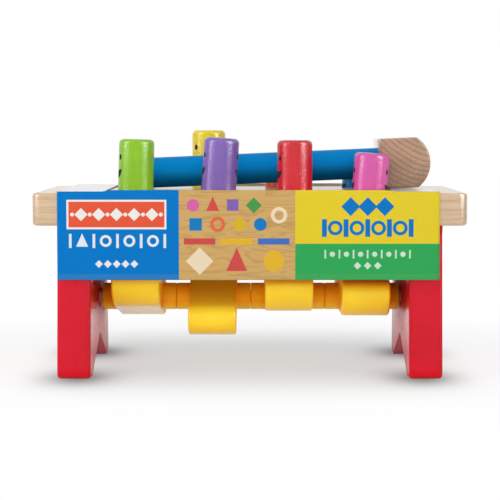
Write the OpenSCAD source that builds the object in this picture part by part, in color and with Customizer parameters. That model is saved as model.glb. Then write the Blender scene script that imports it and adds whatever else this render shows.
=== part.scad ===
// Peg pounding bench: eight pegs stand in two rows over four see-saw rockers on one axle.
// The front of the bench faces -Y, +X is to its right, and the origin is at the middle of its base.

/* [Bench top] */
// Length of the top board
top_l = 266; // [250:1:300]
// Width of the top board
top_w = 132; // [126:1:150]
// Thickness of the top board
top_t = 20; // [16:0.5:24]
// Radius of the board's four corners seen from above
top_corner_r = 6; // [3:0.5:12]
// Radius worked on the board's long and short edges
top_edge_r = 2; // [1:0.25:3]

/* [Legs] */
// Height of a leg board
leg_h = 94; // [90:1:110]
// Thickness of a leg board
leg_t = 20.6; // [16:0.2:24]
// How far the board reaches past the outer face of each leg
overhang = 14.9; // [6:0.1:20]
// How far the top of a leg stands inside the board's long edges
leg_inset = 5; // [0.5:0.25:6]
// How far each end of a leg reaches out further at the floor than at the top
leg_splay = 8; // [0:0.25:10]
// Width of each foot of a leg at the floor
foot_w = 17; // [14:0.5:26]
// Height of the notch between the two feet of a leg
notch_h = 21; // [15:0.5:30]
// Radius of the notch's peak
notch_r = 3; // [1:0.5:6]
// Radius worked on the upright edges of a leg
leg_edge_r = 2.5; // [1:0.25:4]
// Radius worked on a leg's lower edges along its two faces
leg_foot_r = 2; // [1:0.25:4]
// Radius worked on the outer lower corner of each foot
foot_corner_r = 5; // [2:0.5:8]

/* [Axle and rockers] */
// Depth of the axle below the board
axle_drop = 49.2; // [46:0.2:52]
// Diameter of the axle
axle_d = 8; // [6:0.5:10]
// Depth of the axle's blind socket in each leg
axle_socket = 10; // [6:0.5:14]
// Free length of the axle beside the row of rockers
axle_play = 3.8; // [1.2:0.1:5]
// Offset of the row of rockers to the right on its axle
rocker_shift = 0.5; // [-0.5:0.1:0.5]
// Diameter of a rocker's hub
hub_d = 17.2; // [15:0.2:18]
// Chamfer on the ends of a hub
hub_chamfer = 0.8; // [0.2:0.1:1.5]
// Width of a rocker arm
arm_w = 30; // [24:0.2:36]
// Height of a rocker arm's upper face above the axle
arm_over = 14.2; // [10:0.1:15]
// Depth of a rocker arm's lower face below the axle
arm_under = 9.4; // [9.1:0.1:10]
// How far a rocker arm reaches past the middle of its peg
arm_past = 14.5; // [12:0.1:16]
// Radius worked on the long edges of a rocker arm
arm_edge_r = 1.8; // [0.5:0.1:3]
// Radius of a rocker arm's end towards its upper face
arm_end_r = 9; // [4:0.5:10]
// Radius of the long curve that runs from a rocker arm's end to its lower face
arm_keel_r = 23; // [21:0.5:23.5]
// How far rocker 1 is tipped up at the front, in degrees
tilt_1 = 10.4; // [-20:0.1:20]
// How far rocker 2 is tipped up at the front, in degrees
tilt_2 = -19; // [-20:0.1:20]
// How far rocker 3 is tipped up at the front, in degrees
tilt_3 = 5.6; // [-20:0.1:20]
// How far rocker 4 is tipped up at the front, in degrees
tilt_4 = 0.6; // [-20:0.1:20]

/* [Pegs] */
// Diameter of a peg
peg_d = 22; // [20:0.1:22.4]
// Length of a peg beyond the thickness of the board
peg_spare = 54; // [50:0.5:55]
// Diameter of a peg hole
hole_d = 24; // [23.8:0.1:26]
// Chamfer on the rims of a peg hole
hole_chamfer = 0.8; // [0.2:0.1:1.5]
// Distance of each row of pegs from the board's long edge
row_inset = 27.5; // [24:0.5:29]
// Radius worked on a peg's top edge
peg_top_r = 2.2; // [1:0.1:4]
// Radius of the domed foot that rides on a rocker
peg_foot_r = 14; // [12:0.5:20]
// Height of the green peg above the board
green_h = 32.6; // [30:0.1:36]
// Height of the purple peg above the board
purple_h = 33.4; // [30:0.1:36]
// Height of the red peg above the board
red_h = 32; // [30:0.1:36]
// Height of the pink peg above the board
pink_h = 23.9; // [23:0.1:28]
// Height of the left blue peg above the board
blue_left_h = 17; // [16:0.1:20]
// Height of the yellow peg above the board
yellow_h = 38; // [36:0.1:40]
// Height of the orange peg above the board
orange_h = 19; // [18:0.1:22]
// Height of the right blue peg above the board
blue_right_h = 21.5; // [21:0.1:24]
// Lean of the green peg to the right, in degrees
green_lean = 1.6; // [0.2:0.1:5]
// Lean of the purple peg to the right, in degrees
purple_lean = 3.9; // [0.2:0.1:5]
// Lean of the pink peg to the right, in degrees
pink_lean = 4.2; // [0.2:0.1:5]
// Diameter of the stop pin that keeps a peg in its hole
pin_d = 4; // [3:0.25:5]
// Length of a stop pin
pin_l = 28; // [26:0.5:30]
// Height of a stop pin above the peg's foot
pin_up = 11; // [9:0.5:15]

/* [Leg dowels] */
// Diameter of a dowel between a leg and the board
dowel_d = 8; // [6:0.5:10]
// Length of a dowel
dowel_l = 30; // [20:1:34]
// Distance of a dowel from the long edge of the leg's top
dowel_inset = 19; // [15:0.25:30]

/* [Mallet] */
// Length of the head between its two striking faces
head_l = 55; // [50:1:56]
// Height of the head across its flat back
head_h = 31.4; // [28:0.2:34]
// Depth of the head from its flat back to where its round nose starts
head_flat = 23.5; // [20:0.5:26]
// Radius of the head's round nose
head_nose_r = 19.2; // [18:0.2:24]
// Radius worked on the long edges of the head
head_edge_r = 1.5; // [0.5:0.25:3]
// Chamfer round the rim of each striking face
head_rim = 0.8; // [0.2:0.1:1.5]
// Distance of the head's flat back from the end of the board
head_inset = 50.1; // [46:0.1:51]
// Diameter of the handle
handle_d = 19.5; // [16:0.25:21]
// Length of the handle outside the head
handle_l = 161.6; // [150:0.2:166]
// Depth of the handle's socket in the head
handle_socket = 24; // [15:0.5:27]
// Radius worked on the handle's end
handle_end_r = 2.5; // [1:0.25:5]

/* [Card sleeve] */
// How far each end of the sleeve stays inside the end of the board
sleeve_inset = 16.5; // [14:0.5:20]
// Offset of the sleeve's middle from the board's middle
sleeve_shift = -0.9; // [-2:0.1:2]
// Drop of the sleeve's front and back panels below the top of the board
sleeve_drop = 53; // [45:1:60]
// Thickness of the card
card_t = 0.7; // [0.4:0.1:1.2]
// Width of the strap over the board at each end of the window
strap_w = 28; // [24:0.5:30]
// How far the cut edges of the window stand above the straps
edge_proud = 0.7; // [0:0.1:1.5]
// Radius inside the sleeve's folds
fold_r = 0.5; // [0.2:0.1:1]

/* [Fits] */
// Radial clearance of the axle and of the dowels in their bores
bore_fit = 0.05; // [0.02:0.01:0.1]
// Gap between a piece and what it lies against
rest_gap = 0.3; // [0.2:0.05:0.5]
// Gap between neighbouring hubs and between a hub and a leg
hub_gap = 0.3; // [0.2:0.05:0.6]
// Depth left free at the bottom of a blind bore
bore_end = 0.5; // [0.2:0.1:1]

/* [Hidden] */
$fn = 64;

// Overrun of every cut past the face that it opens
over = 1;

// Height of the top board's upper face
top_z = leg_h + top_t;

// Clear width between the legs, and the width of a leg's top and of the notch between its feet
leg_gap = top_l - 2 * overhang - 2 * leg_t;
leg_top_w = top_w - 2 * leg_inset;
notch_w = leg_top_w + 2 * leg_splay - 2 * foot_w;
dowel_spacing = leg_top_w - 2 * dowel_inset;

// Each row of pegs, and the rockers below that carry them
row_y = top_w / 2 - row_inset;
peg_l = top_t + peg_spare;
arm_reach = row_y + arm_past;
axle_z = leg_h - axle_drop;

// Distance between neighbouring rockers, which share the axle between the legs
rocker_count = 4;
pitch = (leg_gap - axle_play) / rocker_count;
tilts = [tilt_1, tilt_2, tilt_3, tilt_4];

// How far each hole stands to the right of even spacing, as a share of that spacing
front_shift_shares = [-0.008, 0.065, 0.061, 0.036];
back_shift_shares = [-0.061, -0.069, -0.05, 0.021];

// Each peg's height above the board and its lean, from left to right
front_heights = [green_h, purple_h, red_h, pink_h];
front_leans = [green_lean, purple_lean, 0, pink_lean];
back_heights = [blue_left_h, yellow_h, orange_h, blue_right_h];
back_leans = [0, 0, 0, 0];

// An upright peg lies against one side of its hole
peg_play = (hole_d - peg_d) / 2;
peg_side = peg_play - rest_gap;

// Length of the sleeve along the board
sleeve_l = top_l - 2 * sleeve_inset;

// The mallet lies on the board at the end of its handle, and on the sleeve at the foot of its head
head_x = top_l / 2 - head_inset;
mallet_rise = head_h / 2 - handle_d / 2;
mallet_step = card_t + rest_gap;
mallet_tilt = asin(mallet_step / norm([handle_l, mallet_rise])) + atan(mallet_rise / handle_l);
mallet_end_z = top_z + rest_gap + handle_d / 2 * cos(mallet_tilt);
mallet_end_x = head_x - handle_l * cos(mallet_tilt) - head_h / 2 * sin(mallet_tilt);

// Middle of the head's round nose from its flat back
nose_x = head_flat - sqrt(head_nose_r * head_nose_r - head_h * head_h / 4);

// Middle of rocker i along the axle, and of the holes over it
function rocker_x(i) = rocker_shift + (i - (rocker_count - 1) / 2) * pitch;
function front_x(i) = rocker_x(i) + front_shift_shares[i] * pitch;
function back_x(i) = rocker_x(i) + back_shift_shares[i] * pitch;

// A rectangle about the origin with round corners
module round_rect(w, h, r) {
    square([w - 2 * r, h], center = true);
    square([w, h - 2 * r], center = true);
    for (x = [-1, 1], y = [-1, 1])
        translate([x * (w / 2 - r), y * (h / 2 - r)])
            circle(r);
}

// A block about the origin that is the overlap of three round-cornered bars, one along each axis
module round_block(size, plan_r, edge_r) {
    intersection() {
        linear_extrude(size[2], center = true)
            round_rect(size[0], size[1], plan_r);
        rotate([90, 0, 0])
            linear_extrude(size[1], center = true)
                round_rect(size[0], size[2], edge_r);
        rotate([90, 0, 90])
            linear_extrude(size[0], center = true)
                round_rect(size[1], size[2], edge_r);
    }
}

// The top board, with its peg holes and the blind holes for the dowels
module bench_top() {
    color("burlywood")
    difference() {
        translate([0, 0, leg_h + top_t / 2])
            round_block([top_l, top_w, top_t], top_corner_r, top_edge_r);
        for (i = [0 : rocker_count - 1]) {
            translate([front_x(i), -row_y, leg_h])
                peg_hole();
            translate([back_x(i), row_y, leg_h])
                peg_hole();
        }
        dowel_bores();
    }
}

// One peg hole through the board from its underside, with both rims chamfered
module peg_hole() {
    translate([0, 0, -over])
        cylinder(d = hole_d, h = top_t + 2 * over);
    translate([0, 0, top_t - hole_chamfer])
        cylinder(d1 = hole_d, d2 = hole_d + 2 * (hole_chamfer + over), h = hole_chamfer + over);
    translate([0, 0, -over])
        cylinder(d1 = hole_d + 2 * (hole_chamfer + over), d2 = hole_d, h = hole_chamfer + over);
}

// Places its children at the four dowels, half in the board and half in the legs
module at_dowels() {
    for (x = [-1, 1], y = [-1, 1])
        translate([x * (leg_gap + leg_t) / 2, y * dowel_spacing / 2, leg_h])
            children();
}

// The bores that the dowels fill in the board and in the legs
module dowel_bores() {
    at_dowels()
        cylinder(r = dowel_d / 2 + bore_fit, h = dowel_l + 2 * bore_end, center = true);
}

// The four dowels that join the legs to the board
module leg_dowels() {
    color("tan")
    at_dowels()
        cylinder(d = dowel_d, h = dowel_l, center = true);
}

// Outline of a leg: a board wider at the floor, with a peaked notch between its round-cornered feet
module leg_outline() {
    foot_y = leg_top_w / 2 + leg_splay;
    lean = atan(leg_splay / leg_h);
    reach = foot_corner_r / tan(45 - lean / 2);
    slope = atan(notch_h / (notch_w / 2));
    peak_y = notch_r * sin(slope);
    peak_z = notch_h - peak_y * tan(slope);
    difference() {
        union() {
            polygon([
                [-foot_y + reach, 0],
                [foot_y - reach, 0],
                [foot_y - reach * sin(lean), reach * cos(lean)],
                [leg_top_w / 2, leg_h],
                [-leg_top_w / 2, leg_h],
                [-foot_y + reach * sin(lean), reach * cos(lean)]
            ]);
            for (y = [-1, 1])
                translate([y * (foot_y - reach), foot_corner_r])
                    circle(foot_corner_r);
        }
        polygon([
            [-notch_w / 2 - over / tan(slope), -over],
            [-peak_y, peak_z],
            [peak_y, peak_z],
            [notch_w / 2 + over / tan(slope), -over]
        ]);
        translate([0, peak_z - notch_r * cos(slope)])
            circle(notch_r);
    }
}

// Outline of a leg from the front, its two lower corners rounded
module leg_front() {
    translate([0, leg_foot_r])
        square([leg_t, leg_h]);
    translate([leg_foot_r, 0])
        square([leg_t - 2 * leg_foot_r, leg_h]);
    for (x = [leg_foot_r, leg_t - leg_foot_r])
        translate([x, leg_foot_r])
            circle(leg_foot_r);
}

// The waste between a square edge and a quarter round, along +Z from the origin, inside +X and +Y
module edge_waste(r, h) {
    difference() {
        translate([-over, -over, 0])
            cube([r + over, r + over, h]);
        translate([r, r, -over])
            cylinder(r = r, h = h + 2 * over);
    }
}

// One leg at x = 0 to leg_t, its inner face at x = 0
module leg_board() {
    lean = atan(leg_splay / leg_h);
    edge_l = leg_h / cos(lean);
    difference() {
        intersection() {
            rotate([90, 0, 90])
                linear_extrude(leg_t)
                    leg_outline();
            rotate([90, 0, 0])
                linear_extrude(2 * leg_top_w, center = true)
                    leg_front();
        }
        for (side = [0, 1], end = [0, 1])
            translate([side * leg_t, 0, 0])
                mirror([side, 0, 0])
                    mirror([0, end, 0])
                        translate([0, -leg_top_w / 2 - leg_splay, 0])
                            rotate([-lean, 0, 0])
                                translate([0, 0, -over])
                                    edge_waste(leg_edge_r, edge_l + 2 * over);
        translate([-over, 0, axle_z])
            rotate([0, 90, 0])
                cylinder(r = axle_d / 2 + bore_fit, h = axle_socket + over);
    }
}

// The right leg in its place, with its axle socket and dowel bores
module right_leg_solid() {
    difference() {
        translate([leg_gap / 2, 0, 0])
            leg_board();
        dowel_bores();
    }
}

module left_leg() {
    color("crimson")
    mirror([1, 0, 0])
        right_leg_solid();
}

module right_leg() {
    color("crimson")
    right_leg_solid();
}

// The axle, held in the blind sockets of both legs
module axle_rod() {
    axle_l = leg_gap + 2 * (axle_socket - bore_end);
    color("tan")
    translate([0, 0, axle_z])
        rotate([0, 90, 0])
            cylinder(d = axle_d, h = axle_l, center = true);
}

// A round hub about the x axis, chamfered at both ends
module hub_solid() {
    hub_l = pitch - hub_gap;
    rotate([0, 90, 0])
        rotate_extrude()
            polygon([
                [0, -hub_l / 2],
                [hub_d / 2 - hub_chamfer, -hub_l / 2],
                [hub_d / 2, -hub_l / 2 + hub_chamfer],
                [hub_d / 2, hub_l / 2 - hub_chamfer],
                [hub_d / 2 - hub_chamfer, hub_l / 2],
                [0, hub_l / 2]
            ]);
}

// Outline of the two arms from the side: a short arc at each end runs into a long one below it
module arm_outline() {
    over_y = arm_reach - arm_end_r;
    over_z = arm_over - arm_end_r;
    under_z = arm_keel_r - arm_under;
    apart = arm_keel_r - arm_end_r;
    turn = asin((under_z - over_z) / apart);
    under_y = over_y - apart * cos(turn);
    join_y = under_y + arm_keel_r * cos(turn);
    join_z = under_z - arm_keel_r * sin(turn);
    polygon([
        [-under_y, -arm_under],
        [under_y, -arm_under],
        [join_y, join_z],
        [over_y, arm_over],
        [-over_y, arm_over],
        [-join_y, join_z]
    ]);
    for (side = [0, 1])
        mirror([side, 0]) {
            translate([over_y, over_z])
                circle(arm_end_r);
            intersection() {
                translate([under_y, under_z])
                    circle(arm_keel_r, $fn = 128);
                polygon([
                    [under_y, under_z],
                    [under_y, under_z - arm_reach],
                    [under_y + arm_reach * cos(turn), under_z - arm_reach * sin(turn)]
                ]);
            }
        }
}

// Both arms of a rocker as one bar through the axle, along the y axis
module arm_solid() {
    arm_t = arm_over + arm_under;
    intersection() {
        translate([0, 0, (arm_over - arm_under) / 2])
            rotate([90, 0, 0])
                linear_extrude(2 * arm_reach, center = true)
                    round_rect(arm_w, arm_t, arm_edge_r);
        rotate([90, 0, 90])
            linear_extrude(arm_w, center = true)
                arm_outline();
    }
}

// Rocker i: a two-armed see-saw with a hub, tipped about the axle
module rocker(i) {
    color("gold")
    translate([rocker_x(i), 0, axle_z])
        rotate([-tilts[i], 0, 0])
            difference() {
                union() {
                    hub_solid();
                    arm_solid();
                }
                rotate([0, 90, 0])
                    cylinder(r = axle_d / 2 + bore_fit, h = pitch + 2 * over, center = true);
            }
}

// Outline of a peg from its axis outwards: a domed foot at zero height and a rounded top edge
module peg_profile() {
    r = peg_d / 2;
    foot_h = peg_foot_r - sqrt(peg_foot_r * peg_foot_r - r * r);
    translate([0, foot_h])
        square([r, peg_l - foot_h - peg_top_r]);
    translate([0, foot_h])
        square([r - peg_top_r, peg_l - foot_h]);
    translate([r - peg_top_r, peg_l - peg_top_r])
        circle(peg_top_r);
    intersection() {
        translate([0, peg_foot_r])
            circle(peg_foot_r);
        square([r, foot_h + peg_top_r]);
    }
}

// Places its children at the foot of the front peg over rocker i
module at_front_peg(i) {
    at_peg(front_x(i), -row_y, front_heights[i], front_leans[i], 1)
        children();
}

// Places its children at the foot of the back peg over rocker i
module at_back_peg(i) {
    at_peg(back_x(i), row_y, back_heights[i], back_leans[i], -1)
        children();
}

// Places its children at a peg's foot: a leaning peg turns about the middle of its hole's depth
module at_peg(x, y, height, lean, side) {
    shift = lean == 0 ? side * peg_side : 0;
    translate([x + shift, y, leg_h + top_t / 2])
        rotate([0, lean, 0])
            translate([0, 0, (height + top_t / 2) / cos(lean) - peg_l])
                children();
}

// A peg from its foot up, with the cross bore for its stop pin
module peg_solid() {
    difference() {
        rotate_extrude()
            intersection() {
                peg_profile();
                square([peg_d, peg_l]);
            }
        translate([0, 0, pin_up])
            rotate([0, 90, 0])
                cylinder(r = pin_d / 2 + bore_fit, h = peg_d + 2 * over, center = true);
    }
}

// A stop pin, which crosses the peg and is too long to pass up through the hole
module pin_solid() {
    translate([0, 0, pin_up])
        rotate([0, 90, 0])
            cylinder(d = pin_d, h = pin_l, center = true);
}

module front_peg(i, paint) {
    color(paint)
    at_front_peg(i)
        peg_solid();
}

module back_peg(i, paint) {
    color(paint)
    at_back_peg(i)
        peg_solid();
}

module front_pin(i) {
    color("tan")
    at_front_peg(i)
        pin_solid();
}

module back_pin(i) {
    color("tan")
    at_back_peg(i)
        pin_solid();
}

// Places its children on the mallet's axis at the free end of its handle
module at_mallet() {
    translate([mallet_end_x, 0, mallet_end_z])
        rotate([0, -mallet_tilt, 0])
            children();
}

// Outline of the head from its side: a flat back at x = 0 and a round nose
module head_outline() {
    translate([head_flat / 2, 0])
        round_rect(head_flat, head_h, head_edge_r);
    intersection() {
        translate([nose_x, 0])
            circle(head_nose_r, $fn = 128);
        translate([head_flat / 2, -head_h / 2])
            square([head_flat + head_nose_r, head_h]);
    }
}

// A rectangle about the origin with its two ends chamfered
module chamfered_rect(w, h, c) {
    polygon([
        [-w / 2 + c, -h / 2],
        [w / 2 - c, -h / 2],
        [w / 2, -h / 2 + c],
        [w / 2, h / 2 - c],
        [w / 2 - c, h / 2],
        [-w / 2 + c, h / 2],
        [-w / 2, h / 2 - c],
        [-w / 2, -h / 2 + c]
    ]);
}

// The head along the y axis, its rims chamfered round the flat back and round the nose
module head_solid() {
    head_w = head_flat + head_nose_r;
    intersection() {
        rotate([90, 0, 0])
            linear_extrude(head_l, center = true)
                head_outline();
        rotate([90, 0, 90])
            linear_extrude(head_w)
                chamfered_rect(head_l, head_h, head_rim);
        translate([head_w, 0, 0])
            linear_extrude(head_h, center = true)
                chamfered_rect(2 * head_w, head_l, head_rim);
        union() {
            translate([0, -head_l / 2, -head_h / 2])
                cube([head_flat, head_l, head_h]);
            translate([nose_x, 0, 0])
                rotate([90, 0, 0])
                    rotate_extrude($fn = 128)
                        polygon([
                            [0, -head_l / 2],
                            [head_nose_r - head_rim, -head_l / 2],
                            [head_nose_r, -head_l / 2 + head_rim],
                            [head_nose_r, head_l / 2 - head_rim],
                            [head_nose_r - head_rim, head_l / 2],
                            [0, head_l / 2]
                        ]);
        }
    }
}

// The head in the mallet's own frame, with the blind socket for the handle
module mallet_head() {
    color("rosybrown")
    at_mallet()
        translate([handle_l, 0, 0])
            difference() {
                head_solid();
                translate([-over, 0, 0])
                    rotate([0, 90, 0])
                        cylinder(r = handle_d / 2 + bore_fit, h = handle_socket + over);
            }
}

// The handle, rounded at its free end and glued into the head
module mallet_handle() {
    r = handle_d / 2;
    full_l = handle_l + handle_socket - bore_end;
    color("royalblue")
    at_mallet()
        rotate([0, 90, 0])
            rotate_extrude() {
                translate([0, handle_end_r])
                    square([r, full_l - handle_end_r]);
                square([r - handle_end_r, full_l]);
                intersection() {
                    translate([r - handle_end_r, handle_end_r])
                        circle(handle_end_r);
                    square([r, full_l]);
                }
            }
}

// Section of the sleeve: card folded over the board, hanging down in front and behind
module sleeve_section() {
    inner_w = top_w + 2 * rest_gap;
    inner_h = 2 * (sleeve_drop + rest_gap);
    difference() {
        translate([0, -sleeve_drop])
            round_rect(inner_w + 2 * card_t, inner_h + 2 * card_t, fold_r + card_t);
        translate([0, -sleeve_drop])
            round_rect(inner_w, inner_h, fold_r);
        translate([0, -2 * sleeve_drop])
            square([2 * inner_w, 2 * sleeve_drop], center = true);
    }
}

// The printed card sleeve, with a window in its top for the pegs and the mallet
module card_sleeve() {
    inner_w = top_w + 2 * rest_gap;
    window_l = sleeve_l - 2 * strap_w;
    edge_h = fold_r + card_t + edge_proud;
    color("dodgerblue")
    translate([sleeve_shift, 0, top_z]) {
        difference() {
            rotate([90, 0, 90])
                linear_extrude(sleeve_l, center = true)
                    sleeve_section();
            translate([0, 0, rest_gap + card_t / 2])
                cube([window_l, inner_w, card_t + 2 * over], center = true);
        }
        for (y = [-1, 1])
            translate([0, y * (inner_w + card_t) / 2, rest_gap - fold_r + edge_h / 2])
                cube([window_l, card_t, edge_h], center = true);
    }
}

bench_top();
left_leg();
right_leg();
leg_dowels();
axle_rod();
rocker(0);  // rocker_1
rocker(1);  // rocker_2
rocker(2);  // rocker_3
rocker(3);  // rocker_4
front_peg(0, "yellowgreen");  // peg_green
front_peg(1, "mediumpurple");  // peg_purple
front_peg(2, "crimson");  // peg_red
front_peg(3, "hotpink");  // peg_pink
back_peg(0, "dodgerblue");  // peg_blue_left
back_peg(1, "gold");  // peg_yellow
back_peg(2, "tomato");  // peg_orange
back_peg(3, "dodgerblue");  // peg_blue_right
front_pin(0);  // pin_green
front_pin(1);  // pin_purple
front_pin(2);  // pin_red
front_pin(3);  // pin_pink
back_pin(0);  // pin_blue_left
back_pin(1);  // pin_yellow
back_pin(2);  // pin_orange
back_pin(3);  // pin_blue_right
mallet_head();
mallet_handle();
card_sleeve();
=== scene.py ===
"""Peg pounding bench: the dressed model, its studio and its camera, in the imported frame.

Every length in this file is in millimetres until a mesh is written, which turns it to metres.
The front of the bench faces -Y, +X is to its right, and Z = 0 is the floor.
"""

import sys
import logging
import math
from dataclasses import dataclass, field
from enum import Enum

import bmesh
import bpy
import numpy as np
from mathutils import Euler, Matrix, Vector
from mathutils.geometry import tessellate_polygon


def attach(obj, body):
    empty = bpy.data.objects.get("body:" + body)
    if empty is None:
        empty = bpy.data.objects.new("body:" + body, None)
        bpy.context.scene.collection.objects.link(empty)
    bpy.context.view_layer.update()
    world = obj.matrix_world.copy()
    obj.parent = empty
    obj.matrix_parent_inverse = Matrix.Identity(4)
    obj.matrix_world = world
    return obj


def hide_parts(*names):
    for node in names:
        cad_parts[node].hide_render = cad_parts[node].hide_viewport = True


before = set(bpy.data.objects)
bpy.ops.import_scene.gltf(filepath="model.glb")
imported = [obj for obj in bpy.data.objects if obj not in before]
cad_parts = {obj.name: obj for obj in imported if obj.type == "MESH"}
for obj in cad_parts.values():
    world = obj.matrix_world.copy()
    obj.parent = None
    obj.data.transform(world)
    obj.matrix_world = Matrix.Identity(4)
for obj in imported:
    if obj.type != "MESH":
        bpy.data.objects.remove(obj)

log = logging.getLogger("pounding_bench")
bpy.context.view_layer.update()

Tree, Socket, Material = bpy.types.NodeTree, bpy.types.NodeSocket, bpy.types.Material
Pair = tuple[float, float]
Triple = tuple[float, float, float]

MM = 0.001
FULL_TURN = 2 * math.pi
CREASE = math.radians(30)
# In metres: points nearer than the first are one point, and faces thinner than the second go
DOUBLES, SLIVERS = 2e-6, 1e-6
# A flat face ends in a narrow ring, which keeps the shading of its rounded edge off it
RIM_RING, HOLE_RING = 0.35, 0.3
EDGE_SPANS, HOLE_SPANS = 7, 64
# Stands an outline of (y, z) up, with its thickness along the X axis
UPRIGHT = Matrix(((0, 0, 1, 0), (1, 0, 0, 0), (0, 1, 0, 0), (0, 0, 0, 1)))
# Lays what is turned about the Z axis along the X axis
ALONG_X = Matrix.Rotation(math.pi / 2, 4, "Y")

WHITE = (1.0, 1.0, 1.0, 1.0)
# Nearly all values of a noise pattern lie between these two
NOISE = (0.3, 0.7)
# How a Mix node is set for colours, on inputs 6 and 7, and for plain numbers, on inputs 2 and 3
COLOURS = {"out": 2, "data_type": "RGBA"}
NUMBERS = {"out": 0, "data_type": "FLOAT"}


class Grain(Enum):
    """The way the fibres run, as the turn that brings them onto the X axis of a pattern."""

    LENGTHWISE = (0.0, 0.0, 0.0)
    ACROSS = (0.0, 0.0, -math.pi / 2)
    UPRIGHT = (0.0, math.pi / 2, 0.0)


# ---- shapes ---------------------------------------------------------------------------------


def smoothstep(x: np.ndarray, low: float, high: float) -> np.ndarray:
    """Rises from 0 at low to 1 at high along 3t^2 - 2t^3.

    Args:
        x: Where to read it.
        low: Start of the rise.
        high: End of the rise.

    Returns:
        The height of the rise at each x.
    """
    t = np.clip((x - low) / (high - low), 0.0, 1.0)
    return t * t * (3.0 - 2.0 * t)


def wrapped(angle: np.ndarray | float) -> np.ndarray | float:
    """Brings an angle to between -pi and pi by whole turns."""
    return (angle + math.pi) % FULL_TURN - math.pi


def arc(x: float, z: float, radius: float, first: float, last: float, steps: int) -> np.ndarray:
    """Points on an arc about (x, z) between two angles in degrees."""
    a = np.radians(np.linspace(first, last, steps + 1))
    return np.stack([x + radius * np.cos(a), z + radius * np.sin(a)], axis=1)


def grid_faces(rows: int, columns: int, wrap_rows: bool = False,
               wrap_columns: bool = False) -> np.ndarray:
    """Four-sided faces of a grid of points numbered row by row.

    Args:
        rows: Number of rows of points.
        columns: Number of points in a row.
        wrap_rows: Joins the last row to the first.
        wrap_columns: Joins the last column to the first.

    Returns:
        An array of faces, four point numbers each.
    """
    i = np.arange(rows if wrap_rows else rows - 1)[:, None]
    j = np.arange(columns if wrap_columns else columns - 1)[None, :]
    below, right = (i + 1) % rows, (j + 1) % columns
    corners = [i * columns + j, i * columns + right, below * columns + right, below * columns + j]
    return np.stack([np.broadcast_to(c, (i.size, j.size)) for c in corners], axis=-1).reshape(-1, 4)


def rounded_loop(corners: list[Triple], steps: int = 10, spacing: float = 6.0) -> np.ndarray:
    """A closed outline with each corner replaced by an arc that touches both of its sides.

    The arc's centre lies on the corner's bisector at r / sin(half angle), and the arc starts and ends
    r / tan(half angle) from the corner.

    Args:
        corners: Each corner's x, y and radius, anticlockwise.
        steps: Spans in each arc.
        spacing: Greatest distance between points on the straight sides.

    Returns:
        Points of the outline, one row each.
    """
    at = np.array([c[:2] for c in corners], float)
    parts = []
    for n, (x, y, radius) in enumerate(corners):
        here = np.array([x, y])
        back, ahead = at[n - 1] - here, at[(n + 1) % len(at)] - here
        back, ahead = back / np.linalg.norm(back), ahead / np.linalg.norm(ahead)
        half = math.acos(np.clip(back @ ahead, -1.0, 1.0)) / 2
        middle = back + ahead
        centre = here + middle / np.linalg.norm(middle) * radius / math.sin(half)
        start = here + back * radius / math.tan(half)
        end = here + ahead * radius / math.tan(half)
        first = math.atan2(*(start - centre)[::-1])
        turn = wrapped(math.atan2(*(end - centre)[::-1]) - first)
        angle = first + turn * np.linspace(0.0, 1.0, steps + 1)
        parts.append(centre + radius * np.stack([np.cos(angle), np.sin(angle)], axis=1))
    outline = []
    for n, part in enumerate(parts):
        ahead = parts[(n + 1) % len(parts)][0]
        count = max(1, math.ceil(np.linalg.norm(ahead - part[-1]) / spacing))
        share = np.linspace(0.0, 1.0, count + 1)[1:-1, None]
        outline += [part, part[-1] + (ahead - part[-1]) * share]
    return np.concatenate(outline)


def inset(loop: np.ndarray, depth: np.ndarray | float) -> np.ndarray:
    """Moves an anticlockwise outline inwards, each point along the mitre of its two sides' normals.

    Args:
        loop: The outline.
        depth: How far in, for all points or for each.

    Returns:
        The outline moved in.
    """
    side = np.roll(loop, -1, axis=0) - loop
    side /= np.linalg.norm(side, axis=1, keepdims=True)
    normal = np.stack([-side[:, 1], side[:, 0]], axis=1)
    before = np.roll(normal, 1, axis=0)
    mitre = (normal + before) / (1.0 + np.sum(normal * before, axis=1, keepdims=True))
    return loop + mitre * np.reshape(depth, (-1, 1))


def quarter_round(radius: float) -> np.ndarray:
    """Section of a rounded edge: at angle a it is r(1 - cos a) in and r(1 - sin a) below the face."""
    a = np.linspace(0.0, math.pi / 2, EDGE_SPANS + 1)
    return radius * np.stack([1.0 - np.cos(a), 1.0 - np.sin(a)], axis=1)


def soft_chamfer(width: float) -> np.ndarray:
    """Section of a chamfer with its two corners slightly broken, as inset and depth below the face."""
    shares = [[0.0, 1.12], [0.04, 1.0], [0.16, 0.84], [0.84, 0.16], [1.0, 0.04], [1.12, 0.0]]
    return width * np.array(shares)


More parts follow.
